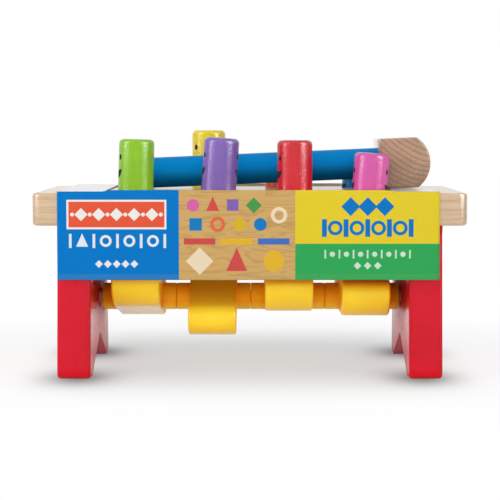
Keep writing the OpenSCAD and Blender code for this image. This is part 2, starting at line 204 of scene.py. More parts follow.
@dataclass
class Shell:
    """A mesh being gathered from arrays of points and faces, in millimetres."""

    points: list[np.ndarray] = field(default_factory=list)
    faces: list[list[int]] = field(default_factory=list)
    size: int = 0

    def add(self, points: np.ndarray, faces: np.ndarray) -> int:
        """Adds points and the faces between them.

        Args:
            points: Rows of x, y, z.
            faces: Faces by number within these points.

        Returns:
            The number that the first of these points now has.
        """
        start = self.size
        self.points.append(np.asarray(points, float).reshape(-1, 3))
        self.size += len(self.points[-1])
        self.faces += (np.asarray(faces) + start).tolist()
        return start

    def moved(self, matrix: Matrix) -> "Shell":
        """The same shell with every point carried through a 4 by 4 matrix."""
        m = np.array(matrix)
        return Shell([p @ m[:3, :3].T + m[:3, 3] for p in self.points], self.faces, self.size)

    def joined(self, other: "Shell") -> "Shell":
        """This shell with another's points and faces added."""
        faces = [[i + self.size for i in f] for f in other.faces]
        return Shell(self.points + other.points, self.faces + faces, self.size + other.size)

    def mesh(self, name: str, closed: bool = True) -> bpy.types.Mesh:
        """Writes the mesh in metres: doubles merged, normals outwards, smooth except at its creases.

        Args:
            name: Name of the mesh.
            closed: True for a closed body, whose faces are turned outwards.

        Returns:
            The mesh.
        """
        mesh = bpy.data.meshes.new(name)
        mesh.from_pydata((np.concatenate(self.points) * MM).tolist(), [], self.faces)
        work = bmesh.new()
        work.from_mesh(mesh)
        bmesh.ops.remove_doubles(work, verts=work.verts, dist=DOUBLES)
        bmesh.ops.dissolve_degenerate(work, edges=work.edges, dist=SLIVERS)
        if closed:
            bmesh.ops.recalc_face_normals(work, faces=work.faces)
        work.to_mesh(mesh)
        work.free()
        mesh.shade_smooth()
        mesh.set_sharp_from_angle(angle=CREASE)
        return mesh


def plate(loop: np.ndarray, thickness: float, edge: np.ndarray, share: np.ndarray | float = 1.0,
          holes: tuple[Triple, ...] = (), rim: np.ndarray | None = None) -> Shell:
    """A board about the plane z = 0: the outline drawn in along the edge's section at both faces.

    A point of the side is the outline inset by the section's inset times its share, at half the
    thickness less the section's depth. Holes are circles whose rims open by a section of their own.

    Args:
        loop: Anticlockwise outline.
        thickness: Thickness of the board.
        edge: Section of the worked edge, as rows of inset and depth.
        share: Size of the edge at each point of the outline.
        holes: Middle x, middle y and radius of each hole.
        rim: Section of the holes' rims.

    Returns:
        The closed shell.
    """
    shell = Shell()
    section = np.vstack([edge, [edge[-1, 0] + RIM_RING, 0.0]])
    share = np.broadcast_to(np.asarray(share, float), (len(loop),))
    top = [(inset(loop, i * share), thickness / 2 - d * share) for i, d in section]
    low = [(ring, -height) for ring, height in reversed(top)]
    rings = np.array([np.column_stack([ring, height]) for ring, height in low + top])
    faces = grid_faces(len(rings), len(loop), wrap_columns=True)
    walls = [(shell.add(rings, faces), len(rings), len(loop))]
    turn = np.linspace(0.0, FULL_TURN, HOLE_SPANS, endpoint=False)
    for x, y, radius in holes:
        border = rim[-1, 0] + HOLE_RING
        r = np.concatenate([[border], rim[::-1, 0], rim[:, 0], [border]]) + radius
        z = np.concatenate([[0.0], rim[::-1, 1], -rim[:, 1], [0.0]])
        z += np.repeat([-thickness / 2, thickness / 2], len(z) // 2)
        ring = np.stack([x + r[:, None] * np.cos(turn), y + r[:, None] * np.sin(turn),
                         np.broadcast_to(z[:, None], (len(z), len(turn)))], axis=-1)
        faces = grid_faces(len(z), len(turn), wrap_columns=True)
        walls.append((shell.add(ring, faces), len(z), len(turn)))
    everything = np.concatenate(shell.points)
    for upper in (0, 1):
        rims = [start + upper * (rows - 1) * count + np.arange(count) for start, rows, count in walls]
        numbers = np.concatenate(rims)
        flat = [[Vector((p[0], p[1], 0.0)) for p in everything[one]] for one in rims]
        shell.faces += [[int(numbers[i]) for i in three] for three in tessellate_polygon(flat)]
    return shell


def turned(profile: np.ndarray, columns: int = 96, closed: bool = False, start: float = 0.0) -> Shell:
    """A profile of radius and height carried round the Z axis: (r cos a, r sin a, z).

    Args:
        profile: Rows of radius and height.
        columns: Spans round the axis.
        closed: Joins the profile's end to its start, for a tube.
        start: Angle of the first column.

    Returns:
        The shell.
    """
    a = start + np.linspace(0.0, FULL_TURN, columns, endpoint=False)
    r, z = profile[:, 0][:, None], profile[:, 1][:, None]
    points = np.stack([r * np.cos(a), r * np.sin(a), np.broadcast_to(z, (len(z), columns))], axis=-1)
    shell = Shell()
    shell.add(points, grid_faces(len(profile), columns, wrap_rows=closed, wrap_columns=True))
    return shell


def piece(name: str, mesh: bpy.types.Mesh, body: str, slot: str, nodes: tuple[str, ...],
          *finishes: Material) -> bpy.types.Object:
    """Puts a mesh in the scene as the piece that stands for its CAD nodes.

    Args:
        name: Name of the piece.
        mesh: Its mesh, already in place.
        body: CAD body that it rides on.
        slot: Material slot of the record; not used.
        nodes: CAD nodes that it stands for.
        finishes: Its materials in order.

    Returns:
        The new object.
    """
    made = bpy.data.objects.new(name, mesh)
    bpy.context.scene.collection.objects.link(made)
    for finish in finishes:
        mesh.materials.append(finish)
    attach(made, body)
    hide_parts(*nodes)
    log.info("%s: %d faces on body %s for %s", name, len(mesh.polygons), body, ", ".join(nodes))
    return made


# ---- finishes -------------------------------------------------------------------------------


def linear(code: str) -> tuple[float, float, float, float]:
    """Turns an sRGB hex colour into the linear colour that a shader takes."""
    values = [int(code[i:i + 2], 16) / 255 for i in (1, 3, 5)]
    return (*[v / 12.92 if v <= 0.04045 else ((v + 0.055) / 1.055) ** 2.4 for v in values], 1.0)


def add(tree: Tree, kind: str, *values: object, out: int | str = 0,
        into: dict | None = None, **settings: object) -> Socket:
    """Adds one shader node with its settings, its values and its links.

    Args:
        tree: Node tree of the material or world.
        kind: Node type without the word ShaderNode, and after a dot its operation, if it has one.
        values: One for each input in order: a number, a colour, a socket to link, or None to leave it.
        out: The output to hand back.
        into: Further inputs by name or number.
        settings: Properties of the node.

    Returns:
        The chosen output.
    """
    kind, _, operation = kind.partition(".")
    node = tree.nodes.new("ShaderNode" + kind)
    if operation:
        node.operation = operation
    for key, value in settings.items():
        setattr(node, key, value)
    for key, value in [*enumerate(values), *(into or {}).items()]:
        if isinstance(value, Socket):
            tree.links.new(value, node.inputs[key])
        elif value is not None:
            node.inputs[key].default_value = value
    return node.outputs[out] if node.outputs else None


def blank(name: str) -> tuple[Material, Tree]:
    """A new material with an empty node tree.

    Args:
        name: Name of the material.

    Returns:
        The material and its node tree.
    """
    material = bpy.data.materials.new(name)
    material.use_nodes = True
    material.node_tree.nodes.clear()
    return material, material.node_tree


def object_mm(tree: Tree, shift: Triple | None = None, turn: Triple | None = None) -> Socket:
    """Places on the piece in millimetres, for a pattern.

    Args:
        tree: Node tree of the material.
        shift: Moves the pattern's origin, or None.
        turn: Turns the pattern, or None.

    Returns:
        The places.
    """
    place = add(tree, "TexCoord", out="Object")
    return add(tree, "Mapping", place, shift, turn, (1 / MM, 1 / MM, 1 / MM))


def shown_directly(tree: Tree) -> Socket:
    """Tells what the camera, a mirror or a glass shows from the light that falls on things.

    Args:
        tree: Node tree of a material or the world.

    Returns:
        1 for what is shown, 0 for light.
    """
    paths = add(tree, "LightPath", out="Is Camera Ray").node.outputs
    seen = paths["Is Camera Ray"]
    for ray in ("Is Glossy Ray", "Is Transmission Ray"):
        seen = add(tree, "Math.MAXIMUM", seen, paths[ray])
    return seen


def surface(tree: Tree, colour: object, roughness: object, normal: Socket, **sockets: object) -> None:
    """Ends a material in one Principled shader.

    Args:
        tree: Node tree of the material.
        colour: Colour or colour socket.
        roughness: Value or socket.
        normal: Normal socket from the bumps.
        sockets: Further Principled inputs, with underscores for spaces.
    """
    given = {key.replace("_", " "): value for key, value in sockets.items()}
    given |= {"Base Color": colour, "Roughness": roughness, "Normal": normal}
    add(tree, "OutputMaterial", add(tree, "BsdfPrincipled", into=given))


@dataclass(frozen=True)
class Smile:
    """Two oval eyes and an open smile, printed in matt black where the piece's own map puts them.

    The map's U runs round the peg from the middle of a face and V down from the peg's top, in
    millimetres. An eye is where ((|u| - 4.2) / 1.45)^2 + ((v - 11.2) / 1.8)^2 is below 1. The mouth is
    where (u / 6)^2 + ((v - 18.9) / 5.6)^2 is below 1 and v is past the upper lip, which is at
    18.5 + 0.9 (1 - (u / 6)^2).
    """

    eye: Pair = (4.2, 11.2)
    eye_half: Pair = (1.45, 1.8)
    eye_rim: float = 0.1
    mouth: Pair = (0.0, 18.9)
    mouth_half: Pair = (6.0, 5.6)
    mouth_rim: float = 0.04
    lip: float = 18.5
    lip_bow: float = 0.9
    lip_rim: float = 0.1
    ink: str = "#060507"
    ink_roughness: float = 0.9

    def over(self, tree: Tree, colour: Socket, gloss: Socket) -> tuple[Socket, Socket]:
        """Prints the face over a paint.

        Args:
            tree: Node tree of the paint.
            colour: Colour of the paint.
            gloss: Roughness of the paint.

        Returns:
            Colour and roughness with the print on them.
        """
        u = add(tree, "SeparateXYZ", add(tree, "UVMap", uv_map="face"))
        v = u.node.outputs[1]
        across = add(tree, "Math.ABSOLUTE", u)
        ovals = []
        for side, middle, half, rim in ((across, self.eye, self.eye_half, self.eye_rim),
                                        (u, self.mouth, self.mouth_half, self.mouth_rim)):
            squares = []
            for place, centre, reach in ((side, middle[0], half[0]), (v, middle[1], half[1])):
                off = add(tree, "Math.SUBTRACT", place, centre)
                off = add(tree, "Math.DIVIDE", off, reach)
                squares.append(add(tree, "Math.POWER", off, 2.0))
            total = add(tree, "Math.ADD", *squares)
            ovals.append(add(tree, "MapRange", total, 1.0 - rim, 1.0 + rim, 1.0, 0.0))
        # The squares that the loop leaves are the mouth's, and the first of them is (u / 6)^2
        lip = add(tree, "Math.MULTIPLY_ADD", squares[0], -self.lip_bow, self.lip + self.lip_bow)
        below = add(tree, "Math.SUBTRACT", v, lip)
        below = add(tree, "MapRange", below, -self.lip_rim, self.lip_rim, 0.0, 1.0)
        mouth = add(tree, "Math.MULTIPLY", ovals[1], below)
        ink = add(tree, "Math.MAXIMUM", ovals[0], mouth)
        inked = add(tree, "Mix", ink, into={6: colour, 7: linear(self.ink)}, **COLOURS)
        return inked, add(tree, "Mix", ink, into={2: gloss, 3: self.ink_roughness}, **NUMBERS)


@dataclass(frozen=True)
class Enamel:
    """Glossy enamel sprayed on turned or sawn beech.

    The eye sees a deep even colour with a wet gloss. The wood's grain telegraphs through as faint
    streaks along the fibres, and the sprayed film has the slight ripple of orange peel.

    With a shade colour, shade is painted in: deep in a gap, from where the share of open air falls below
    shade_from, the paint turns to that painted shade colour and its gloss goes dull. It does so in full only
    on faces whose normal's upward part has gone from the first of shade_faces past the second. The glow is a
    painted glow in the paint's own colour, rising as the open air goes through glow_air, which stands for
    light that bounces between painted faces.
    """

    name: str
    colour: str
    grain: Grain = Grain.UPRIGHT
    roughness: float = 0.16
    streaks: float = 0.5
    peel: float = 0.35
    shine: float = 0.5
    shade: str = ""
    shade_from: float = 0.65
    shade_faces: Pair = (-0.9, -0.3)
    shade_roughness: float = 0.95
    shade_reach: float = 60.0
    glow: float = 0.0
    glow_air: Pair = (0.1, 0.35)
    # Depth of the streaks and of the ripple, in millimetres
    relief: float = 0.06
    smile: Smile | None = None

    def build(self) -> Material:
        """Builds the material.

        Returns:
            The enamel, with printed faces where its piece has them.
        """
        material, tree = blank(self.name)
        at = object_mm(tree, turn=self.grain.value)
        # Vessels and fibres of beech are 0.3 to 1 mm apart and tens of millimetres long
        fibre = add(tree, "VectorMath.MULTIPLY", at, (0.035, 1.3, 1.3))
        fibre = add(tree, "TexNoise", into={"Vector": fibre, "Scale": 1.0, "Detail": 3.0, "Roughness": 0.6})
        # The ripple of a sprayed film is 1 to 2 mm across
        ripple = add(tree, "TexNoise", into={"Vector": at, "Scale": 0.8, "Detail": 2.0})
        # Slow clouds of thicker and thinner paint, 30 mm across
        cloud = add(tree, "TexNoise", into={"Vector": at, "Scale": 0.035, "Detail": 2.0})
        wide = add(tree, "MapRange", cloud, *NOISE, 0.93, 1.05)
        fine = add(tree, "MapRange", fibre, *NOISE, 0.965, 1.03)
        value = add(tree, "Math.MULTIPLY", wide, fine)
        colour = add(tree, "HueSaturation", into={"Value": value, "Color": linear(self.colour)})
        gloss = add(tree, "MapRange", ripple, *NOISE, self.roughness * 0.8, self.roughness * 1.3)
        normal = add(tree, "Bump", self.streaks, self.relief * MM, into={"Height": fibre})
        # A bump's strength ends at 1, so a stronger peel is a deeper one
        normal = add(tree, "Bump", min(1.0, self.peel), self.relief * MM * max(1.0, self.peel),
                     into={"Height": ripple, "Normal": normal})
        glow = {}
        if self.shade:
            # Painted shade and a painted glow, both set by the share of open air round each point
            reach = {"Distance": self.shade_reach * MM}
            air = add(tree, "AmbientOcclusion", into=reach, out="AO", samples=8)
            up = add(tree, "SeparateXYZ", add(tree, "NewGeometry", out="Normal"), out="Z")
            up = add(tree, "MapRange", up, *self.shade_faces, 0.0, 1.0)
            # The share of the painted shade colour, full deep in a gap on the faces that take it
            deep = add(tree, "MapRange", air, 0.2, self.shade_from, 1.0, 0.0)
            deep = add(tree, "Math.MULTIPLY", deep, up)
            colour = add(tree, "Mix", deep, into={6: colour, 7: linear(self.shade)}, **COLOURS)
            gloss = add(tree, "Mix", deep, into={2: gloss, 3: self.shade_roughness}, **NUMBERS)
            # A painted glow in the paint's own colour, which fades out deep in the gaps
            strength = add(tree, "MapRange", air, *self.glow_air, 0.0, self.glow)
            glow = {"Emission_Color": colour, "Emission_Strength": strength}
        if self.smile:
            colour, gloss = self.smile.over(tree, colour, gloss)
        surface(tree, colour, gloss, normal, IOR=1.5, Specular_IOR_Level=self.shine, **glow)
        return material


@dataclass(frozen=True)
class Beech:
    """Planed and sanded beech, bare or under a clear coat.

    The eye sees a pale pinkish tan with fine streaks along the fibres, short darker flecks, broad growth
    bands, and on a sawn end the same bands as curved rings on a darker ground. The rings lie about the
    pith and wander by a few millimetres. Over the distances outer_from from the pith the wood darkens by
    the share outer, which is painted shade: on the head, whose pith lies above it, it darkens the lower
    part. With haze, a face looked at along itself turns glossy and carries the white of the room.
    """

    name: str
    pale: str
    dark: str
    grain: Grain = Grain.LENGTHWISE
    pith: Triple = (0.0, -30.0, 40.0)
    ring: float = 3.2
    ring_share: float = 0.45
    end_share: float = 0.85
    roughness: float = 0.38
    coat: float = 0.0
    coat_roughness: float = 0.08
    haze: float = 0.0
    haze_roughness: float = 0.06
    wander: float = 9.0
    outer: float = 0.0
    outer_from: Pair = (55.0, 85.0)

    def build(self) -> Material:
        """Builds the material.

        Returns:
            The wood.
        """
        material, tree = blank(self.name)
        shift = -(Euler(self.grain.value).to_matrix() @ Vector(self.pith))
        at = object_mm(tree, tuple(shift), self.grain.value)
        # The rings wander over a hand's length
        slow = add(tree, "VectorMath.MULTIPLY", at, (0.006, 0.03, 0.03))
        wander = add(tree, "TexNoise", into={"Vector": slow, "Scale": 1.0, "Detail": 2.0}, out="Color")
        wander = add(tree, "VectorMath.SUBTRACT", wander, (0.5, 0.5, 0.5))
        sway = (0.0, self.wander, self.wander)
        wander = add(tree, "VectorMath.MULTIPLY_ADD", wander, sway, at)
        flat = add(tree, "VectorMath.MULTIPLY", wander, (0.0, 1.0, 1.0))
        radius = add(tree, "VectorMath.LENGTH", flat, out="Value")
        phase = add(tree, "Math.DIVIDE", radius, self.ring)
        phase = add(tree, "Math.FRACT", phase)
        # A year's growth darkens slowly and ends in a thin dark line of late wood
        late = add(tree, "Math.POWER", phase, 5.0)
        fade = add(tree, "MapRange", phase, 0.93, 1.0, 1.0, 0.0)
        late = add(tree, "Math.MULTIPLY", late, fade)
        fibre = add(tree, "VectorMath.MULTIPLY", at, (0.03, 1.1, 1.1))
        fibre = add(tree, "TexNoise", into={"Vector": fibre, "Scale": 1.0, "Detail": 4.0, "Roughness": 0.65})
        # The flecks of beech are rays cut across: 1 to 3 mm long and a few tenths wide
        fleck = add(tree, "VectorMath.MULTIPLY", at, (0.35, 2.2, 2.2))
        fleck = add(tree, "TexNoise", into={"Vector": fleck, "Scale": 1.0, "Detail": 1.0})
        band = add(tree, "TexNoise", into={"Vector": slow, "Scale": 2.2, "Detail": 2.0})
        share = add(tree, "Math.MULTIPLY", late, self.ring_share * 1.6)
        # The last darkening, by distance from the pith, is painted shade
        darkening = ((fibre, 0.34, 0.72, 0.5), (band, 0.35, 0.7, 0.3), (fleck, 0.64, 0.74, 0.55),
                     (radius, *self.outer_from, self.outer))
        for pattern, low, high, most in darkening:
            more = add(tree, "MapRange", pattern, low, high, 0.0, most)
            share = add(tree, "Math.ADD", share, more, use_clamp=True)
        colour = add(tree, "Mix", share, into={6: linear(self.pale), 7: linear(self.dark)}, **COLOURS)
        # A cut across the fibres drinks light and looks darker
        facing = add(tree, "Mapping", add(tree, "TexCoord", out="Normal"), None, self.grain.value)
        facing = add(tree, "Math.ABSOLUTE", add(tree, "SeparateXYZ", facing))
        end = add(tree, "MapRange", facing, 0.5, 0.8, 1.0, self.end_share)
        colour = add(tree, "HueSaturation", into={"Value": end, "Color": colour})
        gloss = add(tree, "MapRange", fibre, *NOISE, self.roughness * 0.85, self.roughness * 1.2)
        normal = add(tree, "Bump", 0.35, 0.08 * MM, into={"Height": fibre})
        glance = add(tree, "LayerWeight", 0.5, out="Facing")
        glance = add(tree, "MapRange", glance, 0.86, 0.925, 0.0, self.haze)
        gloss = add(tree, "Mix", glance, into={2: gloss, 3: self.haze_roughness}, **NUMBERS)
        surface(tree, colour, gloss, normal, IOR=1.5, Coat_Weight=self.coat,
                Coat_Roughness=self.coat_roughness)
        return material


class Motif(Enum):
    """The simple shapes of the sleeve's print."""

    DISC = "disc"
    RING = "ring"
    SQUARE = "square"
    DIAMOND = "diamond"
    TRIANGLE = "triangle"
    BAR = "bar"


@dataclass(frozen=True)
class Stamp:
    """One printed shape: what it is, its middle along the card and in height, its half size and ink.

    With a step, the shape repeats along the card, count times to each side of its middle.
    """

    motif: Motif
    x: float
    z: float
    half: float
    ink: str
    half_x: float = 0.0
    step: float = 0.0
    count: int = 0

    def depth(self, tree: Tree, x: Socket, z: Socket) -> Socket:
        """How deep a point lies inside the stamp, in millimetres.

        Disc: half - sqrt(dx^2 + dz^2). Ring: 0.22 half less the distance from its middle circle. Square:
        half - max(|dx|, |dz|). Diamond: half - |dx| - |dz|. Triangle: the least of dz + 0.7 half and
        0.45 (half - dz) - |dx| + 0.15 half. Bar: as the square, with its own length.

        Args:
            tree: Node tree of the print.
            x: Place along the card.
            z: Height on the card.

        Returns:
            The depth, positive inside.
        """
        dx = add(tree, "Math.SUBTRACT", x, self.x)
        dz = add(tree, "Math.SUBTRACT", z, self.z)
        if self.step:
            nearest = add(tree, "Math.ADD", dx, self.step / 2)
            nearest = add(tree, "Math.SNAP", nearest, self.step)
            nearest = add(tree, "Math.MINIMUM", nearest, self.step * self.count)
            nearest = add(tree, "Math.MAXIMUM", nearest, -self.step * self.count)
            dx = add(tree, "Math.SUBTRACT", dx, nearest)
        ax = add(tree, "Math.ABSOLUTE", dx)
        az = add(tree, "Math.ABSOLUTE", dz)
        if self.motif in (Motif.DISC, Motif.RING):
            # A disc is a ring whose middle circle has no size
            middle = self.half * 0.78 if self.motif is Motif.RING else 0.0
            distance = add(tree, "VectorMath.LENGTH", add(tree, "CombineXYZ", dx, dz, 0.0), out="Value")
            off = add(tree, "Math.ABSOLUTE", add(tree, "Math.SUBTRACT", distance, middle))
            return add(tree, "Math.SUBTRACT", self.half - middle, off)
        if self.motif is Motif.DIAMOND:
            both = add(tree, "Math.ADD", ax, az)
            return add(tree, "Math.SUBTRACT", self.half, both)
        if self.motif is Motif.TRIANGLE:
            first = add(tree, "Math.ADD", dz, self.half * 0.7)
            second = add(tree, "Math.MULTIPLY_ADD", dz, -0.45, self.half * 0.6)
            second = add(tree, "Math.SUBTRACT", second, ax)
        else:
            first = add(tree, "Math.SUBTRACT", self.half_x or self.half, ax)
            second = add(tree, "Math.SUBTRACT", self.half, az)
        return add(tree, "Math.MINIMUM", first, second)


@dataclass(frozen=True)
class PrintedCard:
    """Folding box board, printed in flat colours and varnished.

    The eye sees even matt-silk colours with crisp edges, a hint of the board's own fine tooth, and a
    white unprinted strip over the top. Edges of the print are given by their place on the card.
    """

    name: str = "varnished_box_board"
    blue: str = "#0079CA"
    tan: str = "#D3AC6B"
    tan_dark: str = "#C2955A"
    yellow: str = "#E8CF30"
    green: str = "#33AA5A"
    white: str = "#F6F6F4"
    crease_tint: str = "#A0B080"
    crease_tint_share: float = 0.08
    crease: float = 64.6
    crease_rim: float = 0.3
    blue_end: float = -43.2
    tan_end: float = 27.7
    green_top: float = 83.2
    print_y: float = 65.2
    rim: float = 0.1
    varnish: float = 0.6
    varnish_roughness: float = 0.12
    shine: float = 0.06
    stamps: tuple[Stamp, ...] = (
        # On the blue: a banner, a row of bars and rings, and a row of diamonds
        Stamp(Motif.BAR, -81.2, 101.0, 9.0, "#F1EEE8", half_x=30.4),
        Stamp(Motif.BAR, -81.2, 101.0, 7.8, "#E95B3F", half_x=29.2),
        Stamp(Motif.DIAMOND, -81.2, 101.0, 4.0, "#F1EEE8", step=10.8, count=2),
        Stamp(Motif.DISC, -75.8, 101.0, 1.2, "#F1EEE8", step=10.8, count=2),
        Stamp(Motif.DISC, -108.2, 101.0, 1.2, "#F1EEE8"),
        Stamp(Motif.BAR, -80.6, 84.9, 4.3, "#E4EBEF", half_x=0.8, step=14.4, count=2),
        Stamp(Motif.RING, -73.4, 84.9, 3.6, "#E4EBEF", step=14.4, count=1),
        Stamp(Motif.TRIANGLE, -102.2, 84.2, 4.0, "#E4EBEF"),
        Stamp(Motif.DIAMOND, -81.2, 70.8, 2.4, "#E4EBEF", step=5.4, count=2),
        # On the wood colour: small shapes above, three bars and three large shapes below
        Stamp(Motif.DISC, -34.6, 106.6, 3.8, "#DB66A9"),
        Stamp(Motif.TRIANGLE, -22.6, 106.2, 4.4, "#D8504A"),
        Stamp(Motif.SQUARE, -10.4, 106.8, 3.5, "#8465B2"),
        Stamp(Motif.DIAMOND, 2.4, 106.6, 4.9, "#4C9A50"),
        Stamp(Motif.SQUARE, -33.0, 95.0, 3.8, "#1B7DC2"),
        Stamp(Motif.RING, -19.6, 95.0, 4.6, "#E46D47"),
        Stamp(Motif.DIAMOND, -6.2, 95.0, 5.2, "#DDB42F"),
        Stamp(Motif.DISC, 6.4, 95.0, 3.9, "#1B7DC2"),
        Stamp(Motif.RING, 17.8, 100.6, 5.0, "#F0DCBD"),
        Stamp(Motif.BAR, -30.6, 84.6, 1.9, "#D2504D", half_x=9.6),
        Stamp(Motif.BAR, -8.0, 84.6, 1.9, "#E7B733", half_x=9.6),
        Stamp(Motif.BAR, 14.6, 84.6, 1.9, "#4474C3", half_x=9.6),
        Stamp(Motif.DIAMOND, -30.6, 72.6, 8.4, "#F0DCBD"),
        Stamp(Motif.TRIANGLE, -8.0, 71.4, 7.0, "#D2504D"),
        Stamp(Motif.DISC, 14.6, 72.6, 6.2, "#E7B733"),
        # On the yellow and the green: rows of diamonds, bars, rings and discs
        Stamp(Motif.DIAMOND, 71.8, 105.8, 5.8, "#0B78C8", step=10.4, count=1),
        Stamp(Motif.BAR, 71.8, 92.8, 5.4, "#0B78C8", half_x=1.5, step=13.2, count=2),
        Stamp(Motif.RING, 78.4, 92.8, 4.5, "#0B78C8", step=13.2, count=1),
        Stamp(Motif.RING, 52.0, 92.8, 4.5, "#0B78C8"),
        Stamp(Motif.BAR, 71.8, 76.8, 2.6, "#CDE6D2", half_x=0.5, step=8.6, count=3),
        Stamp(Motif.DISC, 76.1, 76.8, 1.6, "#CDE6D2", step=8.6, count=2),
        Stamp(Motif.DISC, 50.3, 76.8, 1.6, "#CDE6D2"),
        Stamp(Motif.DIAMOND, 71.8, 69.8, 2.3, "#CDE6D2", step=6.2, count=1),
    )

    def past(self, tree: Tree, place: Socket, edge: float) -> Socket:
        """A crisp printed edge: 0 before it and 1 past it.

        Args:
            tree: Node tree of the print.
            place: Place on the card.
            edge: Where the edge is.

        Returns:
            The share past the edge.
        """
        return add(tree, "MapRange", place, edge - self.rim, edge + self.rim, 0.0, 1.0)

    def build(self) -> Material:
        """Builds the printed face of the card.

        Returns:
            The material.
        """
        material, tree = blank(self.name)
        at = object_mm(tree)
        along = add(tree, "SeparateXYZ", at)
        y, z = along.node.outputs[1], along.node.outputs[2]
        # The back panel reads from its own left, so its print runs the other way
        front = add(tree, "Math.LESS_THAN", y, 0.0)
        front = add(tree, "Math.MULTIPLY_ADD", front, 2.0, -1.0)
        x = add(tree, "Math.MULTIPLY", along, front)
        # A printed wood pattern: lines 2 to 4 mm apart that wander along the card
        slow = add(tree, "VectorMath.MULTIPLY", at, (0.012, 0.0, 0.1))
        veins = add(tree, "TexNoise", into={"Vector": slow, "Scale": 1.0, "Detail": 2.0, "Distortion": 0.6})
        veins = add(tree, "Math.FRACT", add(tree, "Math.MULTIPLY", veins, 9.0))
        veins = add(tree, "MapRange", veins, 0.55, 1.0, 0.0, 0.8)
        wood = add(tree, "Mix", veins, into={6: linear(self.tan), 7: linear(self.tan_dark)}, **COLOURS)
        above = self.past(tree, z, self.green_top)
        right = add(tree, "Mix", above, into={6: linear(self.green), 7: linear(self.yellow)}, **COLOURS)
        # Each layer covers those before it
        layers = [(self.past(tree, x, self.blue_end), wood), (self.past(tree, x, self.tan_end), right)]
        for stamp in self.stamps:
            layers.append((self.past(tree, stamp.depth(tree, x, z), 0.0), linear(stamp.ink)))
        # The lowest strip is creased inwards, and below the crease the print takes a faint greenish grey
        # tint
        crease = (self.crease - self.crease_rim, self.crease + self.crease_rim)
        layers.append((add(tree, "MapRange", z, *crease, self.crease_tint_share, 0.0), linear(self.crease_tint)))
        # Over the top of the board the card is unprinted and white, under a thicker varnish
        across = add(tree, "Math.ABSOLUTE", y)
        top = add(tree, "MapRange", across, self.print_y - self.rim, self.print_y + self.rim, 1.0, 0.0)
        layers.append((top, linear(self.white)))
        varnish = add(tree, "Math.MULTIPLY", top, self.varnish)
        colour = linear(self.blue)
        for share, ink in layers:
            colour = add(tree, "Mix", share, into={6: colour, 7: ink}, **COLOURS)
        # The tooth of the board under the varnish, drawn at 0.8 mm so that it shows
        tooth = add(tree, "TexNoise", into={"Vector": at, "Scale": 1.2, "Detail": 3.0})
        gloss = add(tree, "MapRange", tooth, *NOISE, 0.3, 0.42)
        wave = add(tree, "TexNoise", into={"Vector": at, "Scale": 0.03, "Detail": 1.0})
        normal = add(tree, "Bump", 0.2, 0.03 * MM, into={"Height": tooth})
        normal = add(tree, "Bump", 0.3, 0.8 * MM, into={"Height": wave, "Normal": normal})
        surface(tree, colour, gloss, normal, IOR=1.5, Specular_IOR_Level=self.shine, Coat_Weight=varnish,
                Coat_Roughness=self.varnish_roughness)
        return material


@dataclass(frozen=True)
class BareBoard:
    """The uncoated back and the cut edges of box board: matt, off-white, with short grey fibres."""

    name: str
    colour: str

    def build(self) -> Material:
        """Builds the material.

        Returns:
            The bare board.
        """
        material, tree = blank(self.name)
        at = object_mm(tree)
        # Paper fibres are shorter than a millimetre and lie every way
        fibre = add(tree, "TexNoise", into={"Vector": at, "Scale": 1.4, "Detail": 4.0, "Distortion": 1.0})
        value = add(tree, "MapRange", fibre, *NOISE, 0.9, 1.04)
        colour = add(tree, "HueSaturation", into={"Value": value, "Color": linear(self.colour)})
        normal = add(tree, "Bump", 0.3, 0.04 * MM, into={"Height": fibre})
        surface(tree, colour, 0.75, normal, IOR=1.45)
        return material


# ---- the bench ------------------------------------------------------------------------------


